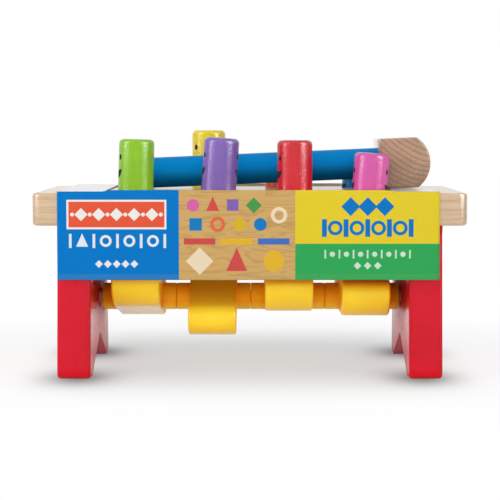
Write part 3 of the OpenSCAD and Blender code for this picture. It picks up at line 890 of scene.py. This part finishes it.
@dataclass
class Carcass:
    """The top board on its two legs, with the joinery inside them."""

    length: float = 266.0
    width: float = 132.0
    board: float = 20.0
    corner: float = 6.0
    board_edge: float = 2.0
    leg_height: float = 94.0
    leg: float = 20.6
    gap: float = 195.0
    leg_top: float = 122.0
    leg_top_corner: float = 0.3
    splay: float = 8.0
    foot: float = 17.0
    foot_corner: float = 5.0
    foot_inner_corner: float = 1.0
    notch: float = 21.0
    notch_round: float = 3.0
    leg_edge: float = 2.5
    foot_edge: float = 2.0
    small_edge: float = 0.8
    edge_out: Pair = (0.5, 5.0)
    edge_fade: Pair = (7.0, 1.0)
    leg_spacing: float = 3.0
    play: float = 3.8
    rocker_shift: float = 0.5
    hole: float = 24.0
    hole_chamfer: float = 0.8
    row: float = 38.5
    front_shares: tuple[float, ...] = (-0.008, 0.065, 0.061, 0.036)
    back_shares: tuple[float, ...] = (-0.061, -0.069, -0.05, 0.021)

    @property
    def pitch(self) -> float:
        """Distance between neighbouring rockers."""
        return (self.gap - self.play) / 4

    @property
    def top(self) -> float:
        """Height of the board's upper face."""
        return self.leg_height + self.board

    def rocker_x(self, i: int) -> float:
        """Middle of rocker i along the axle."""
        return self.rocker_shift + (i - 1.5) * self.pitch

    def hole_at(self, i: int, back: bool) -> Pair:
        """Middle of the hole over rocker i in the front or the back row."""
        share = (self.back_shares if back else self.front_shares)[i]
        return self.rocker_x(i) + share * self.pitch, self.row if back else -self.row

    def make_board(self) -> None:
        """Makes the top board: a plate with rounded edges and eight chamfered holes."""
        ends = ((-1, -1), (1, -1), (1, 1), (-1, 1))
        loop = rounded_loop([(x * self.length / 2, y * self.width / 2, self.corner) for x, y in ends])
        holes = tuple((*self.hole_at(i, back), self.hole / 2) for back in (False, True) for i in range(4))
        shell = plate(loop, self.board, quarter_round(self.board_edge), holes=holes,
                      rim=soft_chamfer(self.hole_chamfer))
        shell = shell.moved(Matrix.Translation((0.0, 0.0, self.leg_height + self.board / 2)))
        wood = Beech("clear_lacquered_beech_board", "#DEC3A0", "#BB8F60", pith=(0.0, -20.0, 30.0),
                     ring=5.5, ring_share=0.3, roughness=0.3, coat=1.0, coat_roughness=0.3)
        piece("top_board", shell.mesh("top_board"), "bench", "bare_wood", ("bench_top",), wood.build())

    def make_legs(self) -> None:
        """Makes the two legs: splayed boards with a peaked notch, most rounded up the front and back."""
        top_y = self.leg_top / 2
        foot_y = top_y + self.splay
        inner = foot_y - self.foot
        corners = [(-foot_y, 0.0, self.foot_corner), (-inner, 0.0, self.foot_inner_corner),
                   (0.0, self.notch, self.notch_round), (inner, 0.0, self.foot_inner_corner),
                   (foot_y, 0.0, self.foot_corner), (top_y, self.leg_height, self.leg_top_corner),
                   (-top_y, self.leg_height, self.leg_top_corner)]
        loop = rounded_loop(corners, spacing=self.leg_spacing)
        # The edge is worked most up the front and the back, less under the feet and least in the notch
        out = smoothstep(np.abs(loop[:, 0]), *[inner + reach for reach in self.edge_out])
        low = 1.0 - smoothstep(loop[:, 1], 0.0, self.foot_corner)
        fade = 1.0 - smoothstep(loop[:, 1], *[self.leg_height - drop for drop in self.edge_fade])
        worked = low * self.foot_edge + (1.0 - low) * self.leg_edge
        share = self.small_edge + (worked - self.small_edge) * out * fade
        unit_edge = quarter_round(1.0)
        shell = plate(loop, self.leg, unit_edge, share)
        # Painted shade: near the hubs and under the board the red turns to a painted shade colour and dulls
        paint = Enamel("red_enamel_on_sawn_beech", "#DB1029", roughness=0.2, streaks=0.55, shine=0.16,
                       shade="#E41C10", shade_from=0.42).build()
        for name, side in (("left_leg", -1), ("right_leg", 1)):
            placed = Matrix.Translation((side * (self.gap + self.leg) / 2, 0.0, 0.0)) @ UPRIGHT
            mesh = shell.moved(placed).mesh(name + "_board")
            piece(name + "_board", mesh, "bench", "red_lacquer", (name,), paint)

    def dress_joinery(self) -> None:
        """Gives the hidden axle and dowels their wood."""
        wood = Beech("turned_beech_rod", "#DCC09A", "#B98F62", pith=(0.0, 3.0, 20.0), ring=2.2).build()
        for name in ("axle_rod", "leg_dowels"):
            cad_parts[name].data.materials.clear()
            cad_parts[name].data.materials.append(wood)
            log.info("%s: kept, with new wood", name)

    def make(self) -> None:
        """Makes the board and the legs, and dresses what joins them."""
        self.make_board()
        self.make_legs()
        self.dress_joinery()


@dataclass
class Rockers:
    """The four see-saw rockers on the axle."""

    carcass: Carcass
    axle_z: float = 44.8
    bore: float = 4.05
    hub: float = 17.2
    hub_gap: float = 0.1
    hub_chamfer: float = 0.5
    hub_root: float = 0.6
    hub_spans: int = 64
    arm_width: float = 30.0
    over: float = 14.2
    under: float = 9.4
    reach: float = 53.0
    edge: float = 1.8
    end_round: float = 9.0
    keel_round: float = 23.0
    tilts: tuple[float, ...] = (10.4, -19.0, 5.6, 0.6)

    def outline(self) -> np.ndarray:
        """Outline of the two arms from the side, anticlockwise.

        Each end is a short arc of radius r that runs into a long arc of radius R below it. With the
        middles d = R - r apart, the line through both falls at sin t = (rise of the long arc's middle
        over the short one's) / d, and the arcs touch on it.

        Returns:
            Points of the outline.
        """
        y, z = self.reach - self.end_round, self.over - self.end_round
        keel_z = self.keel_round - self.under
        apart = self.keel_round - self.end_round
        turn = math.asin((keel_z - z) / apart)
        keel_y, t = y - apart * math.cos(turn), math.degrees(turn)
        low = arc(keel_y, keel_z, self.keel_round, -90.0, -t, 16)
        end = arc(y, z, self.end_round, -t, 90.0, 20)[1:]
        right = np.vstack([low, end])
        middle = np.linspace(1.0, -1.0, 15)[1:-1, None]
        top = np.hstack([middle * y, np.full_like(middle, self.over)])
        bottom = np.hstack([-middle * keel_y, np.full_like(middle, -self.under)])
        return np.vstack([right, top, right[::-1] * [-1.0, 1.0], bottom])

    def hub_tube(self, side: int) -> Shell:
        """One end of the hub, a chamfered tube from just inside the arm to its face at the next hub.

        Args:
            side: -1 for the left end, 1 for the right end.

        Returns:
            The shell along the X axis.
        """
        start, end = self.arm_width / 2 - self.hub_root, (self.carcass.pitch - self.hub_gap) / 2
        section = soft_chamfer(self.hub_chamfer)
        outer = np.stack([self.hub / 2 - section[:, 0], end - section[:, 1]], axis=1)
        ends = np.array([[self.bore, end], [self.bore, start], [self.hub / 2, start]])
        lengthwise = Matrix.Rotation(math.radians(90.0 * side), 4, "Y")
        return turned(np.vstack([outer, ends]), self.hub_spans, closed=True).moved(lengthwise)

    def make(self) -> None:
        """Makes each rocker: a bar rounded most below its ends, and its hub ends, tipped on the axle."""
        # Painted shade turns the yellow deep orange in the gaps, and a painted glow lifts the open faces
        paint = Enamel("yellow_enamel_on_beech", "#FFD52C", Grain.ACROSS, roughness=0.15, streaks=0.4,
                       shine=0.25, shade="#F99200", glow=0.15).build()
        level = plate(self.outline(), self.arm_width, quarter_round(self.edge)).moved(UPRIGHT)
        level = level.joined(self.hub_tube(-1)).joined(self.hub_tube(1))
        for i, tilt in enumerate(self.tilts):
            place = Matrix.Translation((self.carcass.rocker_x(i), 0.0, self.axle_z))
            shell = level.moved(place @ Matrix.Rotation(math.radians(-tilt), 4, "X"))
            name = f"rocker_{i + 1}"
            seesaw = name + "_seesaw"
            piece(seesaw, shell.mesh(seesaw), name, "yellow_lacquer", (name,), paint)


@dataclass(frozen=True)
class Peg:
    """One peg: where it stands, its height, lean and turn, its paint, and its faces' angle apart."""

    name: str
    rocker: int
    back: bool
    height: float
    lean: float
    turn: float
    paint: str
    slot: str
    apart: float = 180.0


@dataclass
class Pegs:
    """The eight painted pegs and their stop pins."""

    carcass: Carcass
    radius: float = 11.0
    length: float = 74.0
    top_round: float = 3.0
    foot_round: float = 14.0
    side: float = 0.7
    pin: float = 4.0
    pin_length: float = 28.0
    pin_up: float = 11.0
    pin_break: float = 0.5
    pin_spans: int = 32
    pegs: tuple[Peg, ...] = (
        Peg("green", 0, False, 32.6, 1.6, 8.0, "#8CC614", "green_paint", 212.0),
        Peg("purple", 1, False, 33.4, 3.9, 3.0, "#8262B6", "purple_paint"),
        Peg("red", 2, False, 32.0, 0.0, 10.0, "#D41F2D", "red_paint", 212.0),
        Peg("pink", 3, False, 23.9, 4.2, -7.0, "#E25CB0", "pink_paint"),
        Peg("blue_left", 0, True, 17.0, 0.0, 8.0, "#0F7CC4", "blue_paint"),
        Peg("yellow", 1, True, 38.0, 0.0, 19.0, "#F8DA1C", "yellow_paint"),
        Peg("orange", 2, True, 19.0, 0.0, -6.0, "#E8613C", "orange_paint"),
        Peg("blue_right", 3, True, 21.5, 0.0, 5.0, "#0F7CC4", "blue_paint"),
    )

    def place(self, peg: Peg) -> Matrix:
        """The frame at a peg's foot. The peg leans about the middle of its hole's depth.

        Args:
            peg: The peg.

        Returns:
            The matrix from the peg's own frame.
        """
        x, y = self.carcass.hole_at(peg.rocker, peg.back)
        if peg.lean == 0:
            x += -self.side if peg.back else self.side
        half = self.carcass.board / 2
        lean = math.radians(peg.lean)
        up = (peg.height + half) / math.cos(lean) - self.length
        base = Matrix.Translation((x, y, self.carcass.leg_height + half)) @ Matrix.Rotation(lean, 4, "Y")
        return base @ Matrix.Translation((0.0, 0.0, up))

    def profile(self) -> np.ndarray:
        """The peg's outline from the middle of its domed foot to the middle of its flat top.

        Returns:
            Rows of radius and height.
        """
        a = np.linspace(0.0, math.asin(self.radius / self.foot_round), 10)
        dome = self.foot_round * np.stack([np.sin(a), 1.0 - np.cos(a)], axis=1)
        inner = self.radius - self.top_round
        top = arc(inner, self.length - self.top_round, self.top_round, 0.0, 90.0, 8)
        shaft_z = np.linspace(dome[-1, 1], top[0, 1], 6)[1:-1]
        shaft = np.stack([np.full(len(shaft_z), self.radius), shaft_z], axis=1)
        cap = np.array([[inner - RIM_RING, self.length], [0.0, self.length]])
        return np.vstack([dome, shaft, top, cap])

    def stop_pin(self) -> Shell:
        """A pin with broken rims, which stands out of both sides of a peg.

        Returns:
            The shell in the peg's own frame.
        """
        r, half, rim = self.pin / 2, self.pin_length / 2, self.pin_break
        profile = np.array([[0.0, -half], [r - rim, -half], [r, rim - half], [r, half - rim],
                            [r - rim, half], [0.0, half]])
        return turned(profile, self.pin_spans).moved(Matrix.Translation((0.0, 0.0, self.pin_up)) @ ALONG_X)

    def make(self) -> None:
        """Makes each peg, its map and its pin."""
        profile, pin = self.profile(), self.stop_pin()
        wood = Beech("turned_beech_pin", "#D8BB93", "#B48A5C", pith=(0.0, 2.0, 12.0), ring=1.8).build()
        for peg in self.pegs:
            body, place = "peg_" + peg.name, self.place(peg)
            # The left face looks along -X, turned towards the front by the peg's turn
            start = math.pi + math.radians(peg.turn)
            mesh = turned(profile, start=start).moved(place).mesh(body + "_painted")
            self.map_faces(mesh, place, start, math.radians(peg.apart))
            paint = Enamel(peg.name + "_enamel_on_turned_beech", peg.paint, roughness=0.16, peel=3.5,
                           shine=0.4, smile=Smile())
            piece(body + "_painted", mesh, body, peg.slot, (body,), paint.build())
            node = "pin_" + peg.name
            mesh = pin.moved(place).mesh(node + "_dowel")
            piece(node + "_dowel", mesh, body, "dowel_wood", (node,), wood)

    def map_faces(self, mesh: bpy.types.Mesh, place: Matrix, start: float, apart: float) -> None:
        """Writes the peg's map in millimetres.

        For a corner at angle a from a face's middle, U = radius * a, counted for the whole polygon from
        the nearer of the two faces so that no polygon spans both, and V = length - height.

        Args:
            mesh: The peg's mesh, in place.
            place: The peg's frame.
            start: Angle of the middle of its left face.
            apart: Angle from that face to the other one.
        """
        inverse = np.array(place.inverted())
        points = np.empty(len(mesh.vertices) * 3)
        mesh.vertices.foreach_get("co", points)
        local = (points.reshape(-1, 3) / MM) @ inverse[:3, :3].T + inverse[:3, 3]
        corner = np.empty(len(mesh.loops), int)
        mesh.loops.foreach_get("vertex_index", corner)
        total = np.empty(len(mesh.polygons), int)
        mesh.polygons.foreach_get("loop_total", total)
        owner = np.repeat(np.arange(len(total)), total)
        middle = np.stack([np.bincount(owner, local[corner, k]) / total for k in (0, 1)], axis=1)
        middle_angle = np.arctan2(middle[:, 1], middle[:, 0]) - start
        first_face, other_face = wrapped(middle_angle), wrapped(middle_angle - apart)
        on_first = np.abs(first_face) <= np.abs(other_face)
        about = np.where(on_first, first_face, other_face)[owner]
        angle = np.arctan2(local[corner, 1], local[corner, 0]) - start
        angle -= np.where(on_first, 0.0, apart)[owner]
        angle = wrapped(angle - about) + about
        uv = np.stack([self.radius * angle, self.length - local[corner, 2]], axis=1)
        mesh.uv_layers.new(name="face").data.foreach_set("uv", uv.ravel())


@dataclass
class Mallet:
    """The mallet that lies across the board: a round handle in a head with one rounded side."""

    carcass: Carcass
    head_length: float = 55.0
    head: float = 31.4
    flat: float = 23.5
    nose: float = 19.2
    back_edge: float = 1.5
    rim: float = 0.8
    head_x: float = 82.9
    handle: float = 19.5
    reach: float = 161.6
    socket: float = 23.5
    end_round: float = 2.5
    gap: float = 0.3
    card: float = 0.7
    # Middle of the growth rings, from the head's flat back: past its nose and well above it
    pith: Triple = (46.0, 0.0, 52.0)

    def place(self) -> Matrix:
        """The frame at the middle of the handle's free end, +X along the handle.

        The mallet rests on the handle's end and on the sleeve's strap at the foot of its head.

        Returns:
            The matrix from the mallet's own frame.
        """
        rise = (self.head - self.handle) / 2
        step = self.card + self.gap
        tilt = math.asin(step / math.hypot(self.reach, rise)) + math.atan(rise / self.reach)
        x = self.head_x - self.reach * math.cos(tilt) - self.head / 2 * math.sin(tilt)
        z = self.carcass.top + self.gap + self.handle / 2 * math.cos(tilt)
        return Matrix.Translation((x, 0.0, z)) @ Matrix.Rotation(-tilt, 4, "Y")

    def make_handle(self) -> None:
        """Makes the handle, turned with a rounded end."""
        r, e, end = self.handle / 2, self.end_round, self.reach + self.socket
        lengths = np.linspace(e, end, 12)[1:]
        profile = np.vstack([[[0.0, 0.0], [r - e - RIM_RING, 0.0]], arc(r - e, e, e, -90.0, 0.0, 8),
                             np.stack([np.full(len(lengths), r), lengths], axis=1), [[0.0, end]]])
        mesh = turned(profile).moved(self.place() @ ALONG_X).mesh("mallet_handle_painted")
        # Painted shade: the handle's underside, over the board, turns a painted darker blue
        paint = Enamel("blue_enamel_on_turned_beech_handle", "#008EDA", Grain.LENGTHWISE, roughness=0.3,
                       shine=0.04, shade="#03598C", shade_from=0.72, shade_faces=(0.3, -0.6))
        piece("mallet_handle_painted", mesh, "mallet", "handle_blue", ("mallet_handle",), paint.build())

    def make_head(self) -> None:
        """Makes the head, a D-shaped block with broken rims."""
        half, b = self.head / 2, self.back_edge
        nose_x = self.flat - math.sqrt(self.nose ** 2 - half ** 2)
        spread = math.degrees(math.asin(half / self.nose))
        loop = np.vstack([arc(b, -half + b, b, 180.0, 270.0, 6),
                          arc(nose_x, 0.0, self.nose, -spread, spread, 40),
                          arc(b, half - b, b, 90.0, 180.0, 6)])
        aside = Matrix(((1, 0, 0, self.reach), (0, 0, -1, 0), (0, 1, 0, 0), (0, 0, 0, 1)))
        shell = plate(loop, self.head_length, soft_chamfer(self.rim)).moved(self.place() @ aside)
        pith = self.place() @ (Vector(self.pith) + Vector((self.reach, 0.0, 0.0)))
        # outer darkens the head's lower part, away from its pith, as painted shade
        wood = Beech("sanded_beech_head", "#C89E7A", "#86603F", Grain.ACROSS, tuple(pith), ring=3.2,
                     ring_share=0.62, end_share=0.92, roughness=0.42, coat=0.8, coat_roughness=0.2,
                     haze=1.0, wander=5.0, outer=0.8)
        piece("mallet_head_block", shell.mesh("mallet_head_block"), "mallet", "head_wood",
              ("mallet_head",), wood.build())

    def make(self) -> None:
        """Makes the handle and the head."""
        self.make_handle()
        self.make_head()


@dataclass
class Sleeve:
    """The printed card sleeve: two hanging panels joined by a strap at each end of the window."""

    carcass: Carcass
    length: float = 233.0
    shift: float = -0.9
    drop: float = 53.0
    card: float = 0.7
    strap: float = 28.0
    proud: float = 0.7
    proud_ease: float = 5.0
    fold: float = 0.5
    gap: float = 0.3
    curl: float = 0.45
    tuck: float = 0.25
    tuck_height: float = 3.2
    bow: float = 0.12
    bow_drop: float = 20.0
    columns: int = 118
    # Heights above the card's foot between which its rows lie close together and then further apart
    foot_rows: tuple[float, int] = (4.0, 7)
    wall_rows: tuple[float, int] = (8.0, 16)
    edge_rows: int = 7
    strap_rows: int = 24
    fold_spans: int = 6
    # Points this near to the window's end are on it
    same: float = 1e-3

    @property
    def flat_y(self) -> float:
        """Distance of a flat panel's middle surface from the bench's middle."""
        return self.carcass.width / 2 + self.gap + self.card / 2

    @property
    def window(self) -> float:
        """Half the length of the window between the straps."""
        return self.length / 2 - self.strap

    @property
    def fold_radius(self) -> float:
        """Radius of the fold on the card's middle surface."""
        return self.fold + self.card / 2

    @property
    def fold_z(self) -> float:
        """Height at which the fold starts."""
        return self.carcass.top + self.gap + self.card / 2 - self.fold_radius

    def panel_y(self, z: np.ndarray, x: np.ndarray) -> np.ndarray:
        """Distance of a panel's middle surface from the bench's middle.

        The flat panel, drawn in by the tuck over its lowest 3 mm, plus a bow of a tenth of a millimetre
        that the card takes between its straps.

        Args:
            z: Heights.
            x: Places along the card.

        Returns:
            The distances.
        """
        top = self.carcass.top
        foot = 1.0 - smoothstep(z, top - self.drop, top - self.drop + self.tuck_height)
        bow = self.bow * np.cos(math.pi * (x - self.shift) / self.length)
        return self.flat_y - self.tuck * foot + bow * smoothstep(top - z, 0.0, self.bow_drop)

    def add_panel(self, shell: Shell, x: np.ndarray, side: int) -> None:
        """Adds one panel up to the fold, and its edge that stands up along the window.

        The edge rises from the fold's start to its proud height and curls inwards by the square of the
        share of that rise.

        Args:
            shell: The shell.
            x: Places of the columns along the card.
            side: -1 for the front, 1 for the back.
        """
        top, fold_z = self.carcass.top, self.fold_z
        foot = top - self.drop
        z = np.concatenate([np.linspace(foot, foot + self.foot_rows[0], self.foot_rows[1]),
                            np.linspace(foot + self.wall_rows[0], fold_z, self.wall_rows[1])])
        at_x, at_z = np.meshgrid(x, z)
        wall = np.stack([at_x, side * self.panel_y(at_z, at_x), at_z], axis=-1)
        inner = x[np.abs(x - self.shift) <= self.window + self.same]
        near = smoothstep(self.window - np.abs(inner - self.shift), 0.0, self.proud_ease)
        rise = np.linspace(0.0, 1.0, self.edge_rows)[:, None]
        high = top + self.gap + self.card + self.proud * near
        edge_z = fold_z + (high - fold_z) * rise
        edge_y = side * (self.panel_y(np.full_like(inner, fold_z), inner) - self.curl * rise ** 2)
        edge = np.stack([np.broadcast_to(inner, edge_z.shape), edge_y, edge_z], axis=-1)
        for points in (wall, edge):
            faces = grid_faces(*points.shape[:2])
            shell.add(points, faces if side < 0 else faces[:, ::-1])

    def add_strap(self, shell: Shell, x: np.ndarray, side: int) -> None:
        """Adds one strap over the board, with its two folds, which start where the bowed panels end.

        Args:
            shell: The shell.
            x: Places of the columns along the card.
            side: -1 for the left, 1 for the right.
        """
        radius, fold_z = self.fold_radius, self.fold_z
        bend = arc(-self.flat_y + radius, fold_z, radius, 180.0, 90.0, self.fold_spans)
        across = np.linspace(bend[-1, 0], -bend[-1, 0], self.strap_rows)[1:-1]
        level = np.stack([across, np.full(len(across), bend[-1, 1])], axis=1)
        path = np.vstack([bend, level, bend[::-1] * [-1, 1]])
        y, z = path[:, :1], path[:, 1:]
        ends = x[(x - self.shift) * side >= self.window - self.same]
        pull = np.sign(y) * (self.panel_y(np.full((1, len(ends)), fold_z), ends) - self.flat_y)
        pull = pull * (1.0 - smoothstep(np.abs(z - fold_z), 0.0, radius))
        points = np.stack(np.broadcast_arrays(ends, y + pull, z), axis=-1)
        shell.add(points, grid_faces(*points.shape[:2]))

    def sheet(self) -> Shell:
        """The card's middle surface, as grids over length and path that share their borders.

        Returns:
            The open shell, its faces towards the outside.
        """
        half = self.length / 2
        x = np.concatenate([np.linspace(-half, half, self.columns), [-self.window, self.window]])
        x = np.unique(x.round(4)) + self.shift
        shell = Shell()
        for side in (-1, 1):
            self.add_panel(shell, x, side)
        for side in (-1, 1):
            self.add_strap(shell, x, side)
        return shell

    def make(self) -> None:
        """Makes the sleeve: the sheet given the thickness of the card."""
        mesh = self.sheet().mesh("card_sleeve_print", closed=False)
        finishes = (PrintedCard(), BareBoard("uncoated_box_board_back", "#CFC8BC"),
                    BareBoard("cut_box_board_edge", "#E9E4DA"))
        made = piece("card_sleeve_print", mesh, "sleeve", "sleeve_card", ("card_sleeve",),
                     *[finish.build() for finish in finishes])
        solid = made.modifiers.new("thickness", "SOLIDIFY")
        solid.thickness = self.card * MM
        solid.offset = 0.0
        solid.use_even_offset = True
        solid.material_offset = 1
        solid.material_offset_rim = 2


# ---- the studio -----------------------------------------------------------------------------


class Use(Enum):
    """What a lamp is for, as whether it lights surfaces and whether it shows in their gloss."""

    BOTH = (True, True)
    LIGHT = (True, False)
    GLOSS = (False, True)


@dataclass(frozen=True)
class Lamp:
    """A soft box: where it stands round the bench, its size, the brightness of its face and its use."""

    name: str
    azimuth: float
    elevation: float
    distance: float
    size: Pair
    brightness: float
    use: Use = Use.BOTH


@dataclass
class Studio:
    """White floor, white surroundings, soft boxes and the camera.

    The floor carries a painted shadow, a soft spot at each foot and a wide pool under the bench, and
    turns to plain white over the distances white_from.
    """

    lens: float = 125.14
    sensor: float = 36.0
    clip: Pair = (0.05, 20.0)
    eye: Triple = (0.97, -1123.5, 154.0)
    pitch: float = 4.04
    yaw: float = 0.047
    aim_z: float = 90.0
    dome: float = 0.27
    floor_radii: tuple[float, ...] = (0.0, 400.0, 3000.0)
    paper: str = "#F2F2F2"
    lit_paper: str = "#777777"
    paper_glow: float = 0.84
    # The painted shadow on the floor: a spot under each foot and a pool under the bench
    spot: Pair = (106.0, 62.0)
    spot_size: Pair = (20.0, 34.0)
    spot_depth: float = 0.78
    pool_y: float = 29.0
    pool_deep: Pair = (60.0, 200.0)
    pool_wide: Pair = (85.0, 150.0)
    pool_depth: float = 0.28
    white_y: float = 45.0
    white_squeeze: float = 0.8
    white_from: Pair = (130.0, 300.0)
    lamps: tuple[Lamp, ...] = (
        Lamp("left_softbox", -62.0, 24.0, 1150.0, (900.0, 900.0), 1.8),
        Lamp("right_softbox", 60.0, 22.0, 1150.0, (460.0, 900.0), 1.8),
        Lamp("right_glint", 58.0, 26.0, 1140.0, (600.0, 900.0), 13.0, Use.GLOSS),
        Lamp("left_glint", -70.0, 26.0, 1140.0, (420.0, 900.0), 7.0, Use.GLOSS),
        Lamp("overhead_softbox", 0.0, 82.0, 1200.0, (900.0, 900.0), 0.8),
        Lamp("front_fill", -4.0, 2.0, 1600.0, (1800.0, 1100.0), 2.35, Use.LIGHT),
    )

    def make_camera(self) -> None:
        """Puts the camera where the photograph was taken from."""
        data = bpy.data.cameras.new("camera")
        data.lens, data.sensor_width, data.sensor_fit = self.lens, self.sensor, "HORIZONTAL"
        data.clip_start, data.clip_end = self.clip
        camera = bpy.data.objects.new("camera", data)
        camera.location = Vector(self.eye) * MM
        camera.rotation_euler = (math.radians(90.0 - self.pitch), 0.0, math.radians(self.yaw))
        bpy.context.scene.collection.objects.link(camera)
        bpy.context.scene.camera = camera

    def make_lamps(self) -> None:
        """Hangs each soft box, facing the bench. Power is brightness times pi times area."""
        target = Vector((0.0, 0.0, self.aim_z)) * MM
        for lamp in self.lamps:
            azimuth, elevation = math.radians(lamp.azimuth), math.radians(lamp.elevation)
            level = math.cos(elevation)
            away = Vector((math.sin(azimuth) * level, -math.cos(azimuth) * level, math.sin(elevation)))
            data = bpy.data.lights.new(lamp.name, "AREA")
            data.shape = "RECTANGLE"
            data.size, data.size_y = lamp.size[0] * MM, lamp.size[1] * MM
            data.energy = lamp.brightness * math.pi * data.size * data.size_y
            light = bpy.data.objects.new(lamp.name, data)
            light.location = target + away * lamp.distance * MM
            light.rotation_euler = (-away).to_track_quat("-Z", "Y").to_euler()
            light.visible_diffuse, light.visible_glossy = lamp.use.value
            bpy.context.scene.collection.objects.link(light)

    def make_world(self) -> None:
        """White surroundings for the eye and for reflections, dimmer for the light that they give."""
        world = bpy.data.worlds.new("white_studio")
        bpy.context.scene.world = world
        world.use_nodes = True
        tree = world.node_tree
        tree.nodes.clear()
        strength = add(tree, "Mix", shown_directly(tree), into={2: self.dome, 3: 1.0}, **NUMBERS)
        add(tree, "OutputWorld", add(tree, "Background", WHITE, strength))

    def feet_shade(self, tree: Tree) -> Socket:
        """The painted part of the bench's shadow on the floor, neutral grey, from 0 in the dark to 1 in full
        light.

        Near a foot it is 1 - 0.78 exp(-(dx / 20)^2 - (dy / 34)^2) about a point under the foot. Under
        the bench the pool takes a further 0.28, level over the footprint and fading out to its far
        distances from the middle, which lies a little towards the back.

        Args:
            tree: Node tree of the floor.

        Returns:
            The factor.
        """
        x = add(tree, "SeparateXYZ", object_mm(tree))
        y = x.node.outputs[1]
        aside, ahead = [add(tree, "Math.ABSOLUTE", place) for place in (x, y)]
        offsets = []
        for place, middle, size in zip((aside, ahead), self.spot, self.spot_size):
            offset = add(tree, "Math.SUBTRACT", place, middle)
            offsets.append(add(tree, "Math.DIVIDE", offset, size))
        far = add(tree, "CombineXYZ", *offsets, 0.0)
        far = add(tree, "VectorMath.DOT_PRODUCT", far, far, out="Value")
        foot = add(tree, "Math.EXPONENT", add(tree, "Math.MULTIPLY", far, -1.0))
        foot = add(tree, "Math.MULTIPLY_ADD", foot, -self.spot_depth, 1.0)
        back = add(tree, "Math.ABSOLUTE", add(tree, "Math.SUBTRACT", y, self.pool_y))
        pool = [add(tree, "MapRange", place, *fade, 1.0, 0.0, interpolation_type="SMOOTHSTEP")
                for place, fade in ((back, self.pool_deep), (aside, self.pool_wide))]
        pool = add(tree, "Math.MULTIPLY", *pool)
        pool = add(tree, "Math.MULTIPLY_ADD", pool, -self.pool_depth, 1.0)
        return add(tree, "Math.MULTIPLY", foot, pool)

    def make_floor(self) -> None:
        """A round white floor that keeps the bench's real and painted shadow near it and is plain white
        further off.

        Near the bench the paper is a grey that takes the light and the real shadow, with a glow on top that
        brings it up to white; the painted shadow of feet_shade dims the glow. Things are lit by the plain
        white paper.
        """
        mesh = turned(np.array([[radius, 0.0] for radius in self.floor_radii])).mesh("floor", closed=False)
        floor = bpy.data.objects.new("floor", mesh)
        bpy.context.scene.collection.objects.link(floor)
        material, tree = blank("white_paper_floor")
        mesh.materials.append(material)
        away = add(tree, "Mapping", object_mm(tree), (0.0, -self.white_y, 0.0), None,
                   (self.white_squeeze, 1.0, 1.0))
        away = add(tree, "VectorMath.LENGTH", away, out="Value")
        far = add(tree, "MapRange", away, *self.white_from, 0.0, 1.0, interpolation_type="SMOOTHSTEP")
        # The glow is dimmed by the painted shadow
        glow = add(tree, "Math.MULTIPLY", self.feet_shade(tree), self.paper_glow)
        near = add(tree, "AddShader", add(tree, "BsdfDiffuse", linear(self.lit_paper)),
                   add(tree, "Emission", WHITE, glow))
        shown = add(tree, "MixShader", far, near, add(tree, "Emission", WHITE, 1.0))
        paper = add(tree, "BsdfDiffuse", linear(self.paper))
        add(tree, "OutputMaterial", add(tree, "MixShader", shown_directly(tree), paper, shown))

    def make(self) -> None:
        """Builds the whole studio."""
        self.make_camera()
        self.make_lamps()
        self.make_world()
        self.make_floor()
        bpy.context.scene.view_settings.view_transform = "Standard"


def main() -> None:
    logging.basicConfig(level=logging.INFO, format="%(name)s: %(message)s", stream=sys.stdout)
    carcass = Carcass()
    assemblies = (carcass, Rockers(carcass), Pegs(carcass), Mallet(carcass), Sleeve(carcass), Studio())
    for assembly in assemblies:
        assembly.make()
    bpy.context.view_layer.update()


if __name__ == "__main__":
    main()
